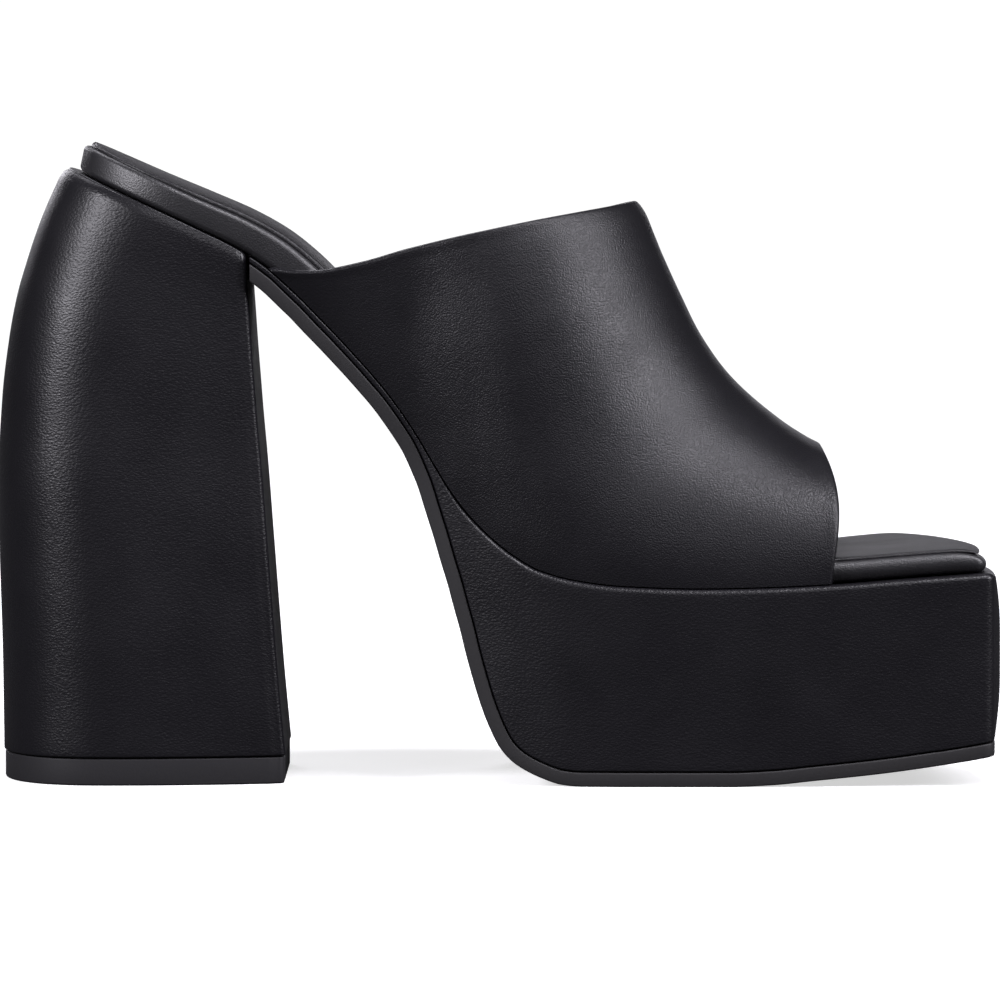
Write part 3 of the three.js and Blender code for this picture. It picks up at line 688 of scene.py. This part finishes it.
EDGE_SHARE = 0.3
PANEL_SHARE = 0.49


def swell(distance):
    """Share of the front panel's belly at a distance from its edge."""
    return 1 - (1 - np.clip(distance / BELLY_RUN, 0, 1)) ** 2


def platform(materials):
    front_height = last_height(SOLE_END_X) - underside(SOLE_END_X) - OUTSOLE_THICKNESS
    panel = PANEL_SHARE * front_height - EDGE_RADIUS
    stations = stations_of(underside, SOLE_START, SOLE_END_X, panel=panel)
    body = stations["zone"] == BODY
    smaller = stations["smaller"]
    station_place = station_x(stations)
    foot_x, foot_z = off_line(underside, station_place, OUTSOLE_THICKNESS + CLEARANCE)
    top_x = np.where(body, platform_top_x(station_place), foot_x)
    top_z = last_height(top_x)
    height = np.hypot(top_x - foot_x, top_z - foot_z)
    radius = np.minimum(EDGE_RADIUS, EDGE_SHARE * height)
    foot_radius = np.minimum(SOLE_EDGE_RADIUS, EDGE_SHARE * height)

    def place(share, level, inset):
        """Points at a height over the foot of the side, along the side's slope."""
        up = level / height
        x = np.where(body, lerp(foot_x, top_x, up), station_x(stations, inset))
        out = beside_upper(x)
        width = half_width(stations, -1 if share < 0 else 1, out, inset, x)[1]
        z = lerp(foot_z, top_z, up)
        point = across(stations, share, out, inset, x, z, 1 - smaller / width)
        from_side = width - abs(share) * (width - smaller)
        belly = swell(from_side) * swell(np.minimum(level, height - level)) * (smaller > 0)
        point[:, 0] += TOE_BELLY * belly
        return point

    def low(share, angle):
        inset, below = edge_inset(stations, angle, foot_radius)
        return place(share, below + smaller, inset)

    def high(share, angle):
        inset, below = edge_inset(stations, angle, radius)
        return place(share, height - below - smaller, inset)

    def side_rows(share):
        start, end = foot_radius + smaller, height - radius - smaller
        middle = [
            place(share, lerp(start, end, i / PLATFORM_SIDE_STEPS), 0 * height)
            for i in range(1, PLATFORM_SIDE_STEPS)
        ]
        foot = [low(share, angle) for angle in PLATFORM_EDGE_ANGLES[::-1]]
        return foot + middle + [high(share, angle) for angle in PLATFORM_EDGE_ANGLES]

    flat = [high(share, QUARTER) for share in PLATFORM_SHARES]
    over = side_rows(-1) + flat + side_rows(1)[::-1]
    under = [low(share, QUARTER) for share in shares_across(PLATFORM_FOOT_REACH, len(over))]
    over, under = np.stack(over, 1), np.stack(under, 1)
    piece("platform_covered", over, under, materials, "platform")


# Block heel and top piece. The side's levels run between the heel's two rounded edges
HEEL_LEVELS = 90
HEEL_SIDE_STEPS = 34
HEEL_BREAST_STEPS = 10
HEEL_CORNER_STEPS = 6
HEEL_EDGE_STEPS = 6
HEEL_FOOT_LEVEL = 0.012
HEEL_RIM_LEVEL = 0.99


def heel_outline(up, inset):
    """Half outline of the heel at a level, from the breast's middle to the back's middle."""
    front = breast_at(up) - inset
    back = -FRONT_X + heel_back(up) + inset
    half = heel_half(up) - inset
    turn = back + HEEL_ROUNDING
    front_share = heel_front(up)
    radius = BREAST_CORNER_RADIUS
    breast = half * front_share - radius
    points = [(front, breast * i / HEEL_BREAST_STEPS) for i in range(HEEL_BREAST_STEPS)]
    for i in range(HEEL_CORNER_STEPS + 1):
        angle = QUARTER * i / HEEL_CORNER_STEPS
        points.append((front - radius * (1 - math.cos(angle)), breast + radius * math.sin(angle)))
    for i in range(1, HEEL_SIDE_STEPS + 1):
        x = lerp(front - radius, turn, i / HEEL_SIDE_STEPS)
        to_front = (x - turn) / (front - turn)
        points.append((x, half * (1 - (1 - front_share) * to_front ** 2)))
    for i in range(1, HEEL_END_STEPS + 1):
        angle = QUARTER * i / HEEL_END_STEPS
        points.append((
            turn - HEEL_ROUNDING * math.sin(angle) ** (2 / HEEL_SQUARENESS),
            half * max(math.cos(angle), 0) ** (2 / HEEL_SQUARENESS),
        ))
    return np.array(points)


def block(name, levels, height_at, materials, node):
    """Closed loft through heel outlines. Each level has a share of the height, an inset and a
    drop."""
    over, under = [], []
    for up, inset, drop in levels:
        outline = heel_outline(up, inset)
        z = height_at(up, outline[:, 0]) - drop
        over.append(np.stack([outline[:, 0], -outline[:, 1], z], -1))
        under.append(np.stack([outline[:, 0], outline[:, 1], z], -1))
    piece(name, np.array(over), np.array(under), materials, node)


def edge_levels(up, radius, sign):
    """Levels of a rounded edge that ends at the outline of a share of the height."""
    angles = [QUARTER * i / HEEL_EDGE_STEPS for i in range(HEEL_EDGE_STEPS + 1)]
    rows = [
        (up, radius * (1 - math.cos(angle)), sign * radius * (1 - math.sin(angle)))
        for angle in angles
    ]
    return rows if sign > 0 else rows[::-1]


def heel(materials):
    def height_at(up, x):
        return HEEL_BASE + up * (last_height(x) - HEEL_BASE)

    side = [
        (lerp(HEEL_FOOT_LEVEL, HEEL_RIM_LEVEL, i / HEEL_LEVELS), 0, 0)
        for i in range(HEEL_LEVELS + 1)
    ]
    levels = edge_levels(0, HEEL_FOOT_RADIUS, -1) + side + edge_levels(1, HEEL_RIM_RADIUS, 1)
    block("heel_covered", levels, height_at, materials, "heel")


def top_piece(materials):
    bottom = edge_levels(0, TOP_PIECE_RADIUS, -1)
    top = edge_levels(0, HEEL_FOOT_RADIUS, 1)
    levels = [(0, TOP_PIECE_INSET + inset, drop) for _, inset, drop in bottom]
    levels += [(0, TOP_PIECE_INSET + inset, drop - TOP_PIECE_THICKNESS) for _, inset, drop in top]
    block("top_piece_rubber", levels, lambda up, x: 0 * x, materials, "top_piece")


# The upper. Its crest in side view, by the share of the run from collar to toe
CREST = table(
    "run up",
    (0, 1),
    (0.057, 0.95),
    (0.112, 0.85),
    (0.157, 0.767),
    (0.254, 0.605),
    (0.364, 0.44),
    (0.528, 0.272),
    (0.781, 0.105),
    (1, 0),
)
VAMP_DROP = INSTEP_HEIGHT - VAMP_HEIGHT
CREST_SAMPLES = 80


def crest_line():
    """Catmull-Rom curve through the crest's rows, sampled evenly along its length."""
    xs = lerp(COLLAR_CREST_X, TOE_OPENING_X - TOE_EDGE_LEAN, CREST["run"])
    points = np.stack([xs, VAMP_HEIGHT + VAMP_DROP * CREST["up"]], -1)
    padded = np.concatenate([points[:1], points, points[-1:]])
    t = np.linspace(0, 1, CREST_SAMPLES + 1)[:, None]
    spans = []
    for p0, p1, p2, p3 in zip(padded, padded[1:], padded[2:], padded[3:]):
        v0, v1 = 0.5 * (p2 - p0), 0.5 * (p3 - p1)
        spans.append((2 * p1 - 2 * p2 + v0 + v1) * t ** 3 + (3 * p2 - 3 * p1 - 2 * v0 - v1) * t ** 2
                     + v0 * t + p1)
    curve = np.concatenate(spans)
    run = np.concatenate([[0], np.cumsum(np.hypot(*np.diff(curve, axis=0).T))])
    return curve, run / run[-1]


CREST_CURVE, CREST_RUN = crest_line()

# Its arch by the share of the way from collar to toe: how far the sides bulge and stand up, how
# wide the shoulder is, and how much of the collar's dip and the toe edge's bow it has
ARCH = table(
    "way bulge height shoulder collar bow",
    (0, 0.34, 0.45, 0.6, 1, 0),
    (0.1, 0.33, 0.44, 0.62, 0.5, 0),
    (0.22, 0.31, 0.42, 0.63, 0.07, 0),
    (0.3, 0.28, 0.4, 0.64, 0, 0),
    (0.5, 0.17, 0.42, 0.66, 0, 0),
    (0.7, 0.08, 0.46, 0.7, 0, 0),
    (0.88, 0.03, 0.52, 0.74, 0, 0.16),
    (1, 0.02, 0.55, 0.76, 0, 1),
)
arch_column = {name: follow(ARCH, "way", name) for name in ARCH if name != "way"}

# The collar's dip, and its tilt on the outer side, by the share of the height up the arch
DIP = table(
    "up dip tilt",
    (0, 0, 0),
    (0.08, 0.68, 0.7),
    (0.16, 1, 1),
    (0.26, 0.86, 1),
    (0.38, 0.42, 1),
    (0.55, 0.06, 0.9),
    (0.75, -0.1, 0.65),
    (1, 0, 0),
)
dip_share = follow(DIP, "up", "dip")
tilt_share = follow(DIP, "up", "tilt")
BASE_STEPS = 200
UPPER_BASE = even_places(last_height, COLLAR_BASE_X, TOE_OPENING_X, BASE_STEPS)


def bezier(a, b, c, d, t):
    s = 1 - t
    return a * s ** 3 + 3 * b * s * s * t + 3 * c * s * t * t + d * t ** 3


def upper_point(way, turn):
    """Outer face of the upper: `way` from 0, the collar, to 1, the toe, and `turn` from -1, the
    inner side, over 0, the crest, to 1, the outer side."""
    base_x = np.interp(way, np.linspace(0, 1, BASE_STEPS + 1), UPPER_BASE)
    foot_x, foot_z = off_line(last_height, base_x, CLEARANCE)
    top_x = np.interp(way, CREST_RUN, CREST_CURVE[:, 0])
    top_z = np.interp(way, CREST_RUN, CREST_CURVE[:, 1])
    column = {name: value(way) for name, value in arch_column.items()}
    t = 1 - np.abs(turn)
    out = bezier(1, 1 + column["bulge"], column["shoulder"], 0, t)
    up = bezier(0, column["height"], 1, 1, t)
    low_x = lerp(foot_x, top_x, 1 / 3) + TOE_BOW_LOW * column["bow"]
    high_x = lerp(foot_x, top_x, 2 / 3) + TOE_BOW_HIGH * column["bow"]
    x = bezier(foot_x, low_x, high_x, top_x, up)
    z = lerp(foot_z, top_z, up)
    side = np.where(turn < 0, -1, 1)
    half = np.where(turn < 0, plan_inner(x), plan_outer(x))
    y = side * (half + CLEARANCE + WALL) * out + (middle_y(x) - CREST_INWARD) * up ** 2
    fall = COLLAR_DIP * dip_share(up) + np.where(turn > 0, COLLAR_TILT * tilt_share(up), 0)
    return np.stack([x, y, z - column["collar"] * fall], -1)


# Soft creases in the upper: place, direction and size along the way and round the arch. Depths are
# in millimetres, troughs negative
CREASES = table(
    "way turn slope long wide depth",
    (0.6, -0.42, 0.35, 0.3, 0.07, -0.1),
    (0.72, -0.5, 0.35, 0.28, 0.07, 0.09),
    (0.9, -0.3, 0.1, 0.26, 0.06, -0.08),
    (0.12, -0.78, -0.3, 0.2, 0.06, -0.2),
    (0.6, 0.42, -0.35, 0.3, 0.07, -0.1),
    (0.72, 0.5, -0.35, 0.28, 0.07, 0.09),
    (0.12, 0.78, 0.3, 0.2, 0.06, -0.2),
)


def crease_depth(way, turn):
    """How far the creases lift the upper's surface."""
    depth = 0 * way
    for place_way, place_turn, slope, long, wide, size in zip(*CREASES.values()):
        along_it = turn - place_turn
        off_it = way - place_way - slope * along_it
        depth = depth + size * MM * np.exp(-(along_it / long) ** 2 - (off_it / wide) ** 2)
    return depth


# Its mesh and folded edges. TURN_SPREAD mixes rows crowded at the sides with even ones, and the
# creases fade out over CREASE_FADE of a turn at the sides
UPPER_SECTIONS = 150
UPPER_TURNS = 150
UPPER_EDGE_STEPS = 7
FOLD_STEPS = 8
FOLD_RUN = 2.6 * MM
FOLD_BEAD = 0.12 * MM
FOLD_SHARPNESS = 4
PROBE = 0.0015
TURN_REACH = 0.999
TURN_SPREAD = 0.6
LENGTH_SAMPLES = 101
CREASE_FADE = 0.12


def edge_ways(length):
    """Shares of the way, closer together at the two folded edges."""
    edge = WALL / 2 * (1 - np.cos(np.linspace(0, QUARTER, UPPER_EDGE_STEPS + 1))) / length
    fold = np.linspace(edge[-1], FOLD_RUN / length, FOLD_STEPS)[1:]
    middle = np.linspace(fold[-1], 1 - fold[-1], UPPER_SECTIONS)[1:-1]
    start = np.concatenate([edge, fold])
    return np.concatenate([start, middle, 1 - start[::-1]])


def inner_faces(count, sections, ring):
    """Number of each face's material in the upper: 1, the lining, on its under rows."""
    faces = np.zeros(count, np.int32)
    strip = (sections - 1) * ring
    faces[:strip] = np.arange(strip) % ring >= ring // 2
    return faces


def upper(materials):
    turns = np.sin(np.linspace(-QUARTER, QUARTER, UPPER_TURNS + 1) * TURN_REACH)
    turns = lerp(turns, np.linspace(-1, 1, UPPER_TURNS + 1), TURN_SPREAD)
    turns[0], turns[-1] = -1, 1
    rough = upper_point(np.linspace(0, 1, LENGTH_SAMPLES)[:, None] + 0 * turns, 0 * turns + turns)
    length = np.linalg.norm(np.diff(rough, axis=0), axis=-1).sum(0).mean()
    way, turn = np.meshgrid(edge_ways(length), turns, indexing="ij")
    point = upper_point(way, turn)
    before, after = np.maximum(way - PROBE, 0), np.minimum(way + PROBE, 1)
    inner, outer = np.maximum(turn - PROBE, -1), np.minimum(turn + PROBE, 1)
    normal = np.cross(
        upper_point(after, turn) - upper_point(before, turn),
        upper_point(way, outer) - upper_point(way, inner),
    )
    normal /= np.linalg.norm(normal, axis=-1, keepdims=True)
    normal *= np.sign(normal[:, UPPER_TURNS // 2, 2]).mean()
    normal[:, 0] = (0, -1, 0)
    normal[:, -1] = (0, 1, 0)
    local = np.linalg.norm(np.diff(point, axis=0), axis=-1)
    run = np.concatenate([np.zeros((1, local.shape[1])), np.cumsum(local, 0)])
    from_edge = np.minimum(run, run[-1] - run)
    into = np.clip(from_edge / (WALL / 2), 0, 1)
    half = WALL / 2 * np.sqrt(1 - (1 - into) ** 2)
    bead = FOLD_BEAD * np.exp(-(from_edge / FOLD_RUN) ** FOLD_SHARPNESS) * into
    lift = crease_depth(way, turn) * smoothstep(1 - np.abs(turn), 0, CREASE_FADE)
    middle = point - normal * (WALL / 2)
    over = middle + normal * (half + bead + lift)[..., None]
    under = middle - normal * (half - lift)[..., None]
    piece("upper_leather", over, under, materials, "upper", inner_faces)


# Finishes
def node_of(tree, kind, **values):
    """A new node with its sockets or properties set."""
    node = tree.nodes.new(kind)
    for name, value in values.items():
        if name in node.inputs:
            node.inputs[name].default_value = value
        else:
            setattr(node, name, value)
    return node


def finish(name, shine):
    """A new material, its tree and its shader."""
    material = bpy.data.materials.new(name)
    material.use_nodes = True
    tree = material.node_tree
    shader = tree.nodes["Principled BSDF"]
    shader.inputs["Specular IOR Level"].default_value = shine
    return material, tree, shader


def uneven_colour(tree, shader, factor, colour, tones):
    """Base colour that runs between two shares of a colour's brightness."""
    tone = node_of(tree, "ShaderNodeMix", data_type="RGBA")
    for socket, share in zip("AB", tones):
        tone.inputs[socket].default_value = (*[share * c for c in colour], 1)
    tree.links.new(factor, tone.inputs["Factor"])
    tree.links.new(tone.outputs["Result"], shader.inputs["Base Color"])


# The grain's noises are scaled by the pebble's size: WARP_SCALE and WARP_REACH bend the pebbles'
# outlines, and FINE_SCALE is the grain on them. PATCH_SCALE is that of the uneven gloss and tone
WARP_SCALE = 0.7
WARP_REACH = 0.3
PEBBLE_SMOOTHNESS = 0.35
FINE_SCALE = 1.6
PATCH_SCALE = 55.0
PATCH_RANGE = (0.3, 0.7)
GLOSS_SPREAD = 0.035
LEATHER_TONES = (0.82, 1.18)
RUBBER_TONES = (0.8, 1.2)
RUBBER_SHINE = 0.4


def leather(name, colour, roughness, pebble, depth, fine, stretch=(1, 1, 1), shine=0.5):
    """Leather with a pebble grain of a size and depth in metres, a fine grain and uneven gloss."""
    material, tree, shader = finish(name, shine)
    link = tree.links.new
    place = node_of(tree, "ShaderNodeTexCoord")
    scaled = node_of(tree, "ShaderNodeMapping", Scale=stretch)
    link(place.outputs["Object"], scaled.inputs["Vector"])
    warp = node_of(tree, "ShaderNodeTexNoise", Scale=WARP_SCALE / pebble, Detail=2.0)
    link(scaled.outputs["Vector"], warp.inputs["Vector"])
    shift = node_of(tree, "ShaderNodeVectorMath", operation="MULTIPLY_ADD")
    shift.inputs[1].default_value = (WARP_REACH * pebble,) * 3
    link(warp.outputs["Color"], shift.inputs[0])
    link(scaled.outputs["Vector"], shift.inputs[2])
    cells = node_of(tree, "ShaderNodeTexVoronoi", Scale=1 / pebble, feature="SMOOTH_F1",
                    Smoothness=PEBBLE_SMOOTHNESS)
    link(shift.outputs["Vector"], cells.inputs["Vector"])
    grain = node_of(tree, "ShaderNodeTexNoise", Scale=FINE_SCALE / pebble, Detail=2.0,
                    Roughness=0.6)
    link(scaled.outputs["Vector"], grain.inputs["Vector"])
    mix = node_of(tree, "ShaderNodeMath", operation="MULTIPLY_ADD")
    mix.inputs[1].default_value = fine
    link(grain.outputs["Fac"], mix.inputs[0])
    link(cells.outputs["Distance"], mix.inputs[2])
    bump = node_of(tree, "ShaderNodeBump", Strength=1.0, Distance=depth, invert=True)
    link(mix.outputs["Value"], bump.inputs["Height"])
    link(bump.outputs["Normal"], shader.inputs["Normal"])
    patches = node_of(tree, "ShaderNodeTexNoise", Scale=PATCH_SCALE, Detail=4.0, Roughness=0.55)
    link(place.outputs["Object"], patches.inputs["Vector"])
    gloss = node_of(tree, "ShaderNodeMapRange", **{
        "From Min": PATCH_RANGE[0],
        "From Max": PATCH_RANGE[1],
        "To Min": roughness - GLOSS_SPREAD,
        "To Max": roughness + GLOSS_SPREAD,
    })
    link(patches.outputs["Fac"], gloss.inputs["Value"])
    link(gloss.outputs["Result"], shader.inputs["Roughness"])
    uneven_colour(tree, shader, patches.outputs["Fac"], colour, LEATHER_TONES)
    return material


def rubber(name, colour, roughness, speck, depth):
    """Matte rubber with a fine speckled surface."""
    material, tree, shader = finish(name, RUBBER_SHINE)
    link = tree.links.new
    shader.inputs["Roughness"].default_value = roughness
    place = node_of(tree, "ShaderNodeTexCoord")
    specks = node_of(tree, "ShaderNodeTexNoise", Scale=1 / speck, Detail=4.0, Roughness=0.6)
    link(place.outputs["Object"], specks.inputs["Vector"])
    bump = node_of(tree, "ShaderNodeBump", Strength=1.0, Distance=depth)
    link(specks.outputs["Fac"], bump.inputs["Height"])
    link(bump.outputs["Normal"], shader.inputs["Normal"])
    uneven_colour(tree, shader, specks.outputs["Fac"], colour, RUBBER_TONES)
    return material


BLACK = (0.0078, 0.0073, 0.0098)
# The board's black is lighter than the upper's: partly the board leather's own tone, and partly
# painted sheen that stands in for the highlight along its pillowed toe side
BOARD_BLACK_AND_PAINTED_SHEEN = (0.011, 0.0105, 0.013)
SOCK_BLACK = (0.0125, 0.012, 0.0142)
SOLE_GREY = (0.031, 0.03, 0.0315)
HEEL_GREY = (0.024, 0.0232, 0.0258)
TALL_GRAIN = (0.65, 0.65, 1.1)
upper_leather = leather(
    "upper_leather", BLACK, roughness=0.38, pebble=0.36 * MM, depth=0.07 * MM, fine=0.15)
lining_leather = leather(
    "lining_leather", BLACK, roughness=0.5, pebble=0.7 * MM, depth=0.03 * MM, fine=0.5)
cover_leather = leather(
    "cover_leather", BLACK, roughness=0.38, pebble=0.46 * MM, depth=0.058 * MM, fine=0.4,
    stretch=TALL_GRAIN)
# The board's finish takes the lighter black, which carries painted sheen
board_leather = leather(
    "board_leather", BOARD_BLACK_AND_PAINTED_SHEEN, roughness=0.45, pebble=0.4 * MM, depth=0.05 * MM, fine=0.3,
    shine=1)
sock_leather = leather(
    "sock_leather", SOCK_BLACK, roughness=0.45, pebble=0.5 * MM, depth=0.07 * MM, fine=0.4)
sole_rubber = rubber("sole_rubber", SOLE_GREY, roughness=0.5, speck=0.6 * MM, depth=0.03 * MM)
heel_rubber = rubber("heel_rubber", HEEL_GREY, roughness=0.6, speck=0.5 * MM, depth=0.03 * MM)

upper([upper_leather, lining_leather])
platform([cover_leather])
outsole([sole_rubber])
board([board_leather])
insole([sock_leather])
heel([cover_leather])
top_piece([heel_rubber])


# Floor, light and camera
FLOOR_RADIUS = 1.6
FLOOR_SIDES = 96
FLOOR_WHITE = (0.9, 0.9, 0.9, 1)
FLOOR_DIM = (0.05, 0.05, 0.05, 1)
FLOOR_GLOW = 0.62
WHITE = (1, 1, 1, 1)
COOL_WHITE = (0.95, 0.93, 1.0)
BACKDROP = 1.05
AMBIENT = 0.04
CAMERA_X = 1.0 * MM
CAMERA_DISTANCE = 2.0
CAMERA_HEIGHT = 0.168
CAMERA_TILT = math.radians(3.0024)
CAMERA_LENS = 313.47
CAMERA_SENSOR = 36
CAMERA_CLIP = (0.1, 30)


def camera_sees(tree, seen, lit, out):
    """Gives the camera one shader, and the light that falls on the shoe another."""
    rays = tree.nodes.new("ShaderNodeLightPath")
    choose = tree.nodes.new("ShaderNodeMixShader")
    tree.links.new(rays.outputs["Is Camera Ray"], choose.inputs[0])
    tree.links.new(lit.outputs[0], choose.inputs[1])
    tree.links.new(seen.outputs[0], choose.inputs[2])
    tree.links.new(choose.outputs[0], out.inputs["Surface"])


def white_floor():
    """Pale round floor, nearly black in the shoe's gloss."""
    mesh = bpy.data.meshes.new("floor")
    angles = [2 * math.pi * i / FLOOR_SIDES for i in range(FLOOR_SIDES)]
    points = [(FLOOR_RADIUS * math.cos(a), FLOOR_RADIUS * math.sin(a), 0) for a in angles]
    mesh.from_pydata(points, [], [list(range(FLOOR_SIDES))])
    floor = bpy.data.objects.new("floor", mesh)
    bpy.context.scene.collection.objects.link(floor)
    material, tree, seen = finish("floor_white", shine=0.1)
    seen.inputs["Base Color"].default_value = FLOOR_WHITE
    seen.inputs["Roughness"].default_value = 0.9
    seen.inputs["Emission Color"].default_value = WHITE
    seen.inputs["Emission Strength"].default_value = FLOOR_GLOW
    dim = node_of(tree, "ShaderNodeBsdfDiffuse", Color=FLOOR_DIM)
    camera_sees(tree, seen, dim, tree.nodes["Material Output"])
    mesh.materials.append(material)


def studio_world():
    """White behind the shoe, and a dim even light from all round."""
    world = bpy.data.worlds.new("studio")
    bpy.context.scene.world = world
    world.use_nodes = True
    tree = world.node_tree
    tree.nodes.clear()
    seen = node_of(tree, "ShaderNodeBackground", Color=WHITE, Strength=BACKDROP)
    lit = node_of(tree, "ShaderNodeBackground", Color=WHITE, Strength=AMBIENT)
    camera_sees(tree, seen, lit, tree.nodes.new("ShaderNodeOutputWorld"))


def soft_light(name, place, aim, width, height, power):
    """Rectangular soft light at a place in metres, facing a height over the shoe's middle."""
    data = bpy.data.lights.new(name, "AREA")
    data.shape = "RECTANGLE"
    data.size, data.size_y = width, height
    data.energy = power
    data.color = COOL_WHITE
    light = bpy.data.objects.new(name, data)
    light.location = place
    facing = Vector((0, 0, aim)) - Vector(place)
    light.rotation_euler = facing.to_track_quat("-Z", "Y").to_euler()
    light.visible_camera = False
    bpy.context.scene.collection.objects.link(light)


def photo_camera():
    """Camera at the photo's angle, straight on to the inner side and a little above it."""
    data = bpy.data.cameras.new("camera")
    data.sensor_width = CAMERA_SENSOR
    data.lens = CAMERA_LENS
    data.clip_start, data.clip_end = CAMERA_CLIP
    camera = bpy.data.objects.new("camera", data)
    camera.location = Vector((CAMERA_X, -CAMERA_DISTANCE, CAMERA_HEIGHT)) + TO_FRAME
    camera.rotation_euler = (QUARTER - CAMERA_TILT, 0, 0)
    bpy.context.scene.collection.objects.link(camera)
    bpy.context.scene.camera = camera


# Name, place, height aimed at, width and height in metres, and power in watts
LIGHTS = (
    ("left_box", (-1.43, -0.84, 0.93), 0.08, 0.5, 0.6, 22),
    ("left_front_box", (-1.1, -1.34, 0.8), 0.08, 0.4, 0.5, 4),
    ("right_box", (1.63, -0.54, 0.86), 0.08, 0.35, 0.6, 16),
    ("high_right_box", (1.3, -0.54, 1.32), 0.08, 0.35, 0.4, 7),
    ("top_box", (0.6, -0.68, 1.72), 0.08, 0.6, 0.5, 17),
    ("front_box", (0.5, -1.9, 1.3), 0.08, 0.9, 0.7, 5),
    ("back_box", (0.3, 2.6, 0.4), 0.1, 1.2, 0.5, 2.2),
    ("rear_top_box", (-0.3, 1.15, 1.5), 0.08, 0.6, 0.6, 6),
    ("rear_left_box", (-0.7, 1.9, 0.6), 0.08, 0.6, 0.5, 5),
)

white_floor()
studio_world()
for light_row in LIGHTS:
    soft_light(*light_row)
photo_camera()
bpy.context.scene.view_settings.view_transform = "Standard"
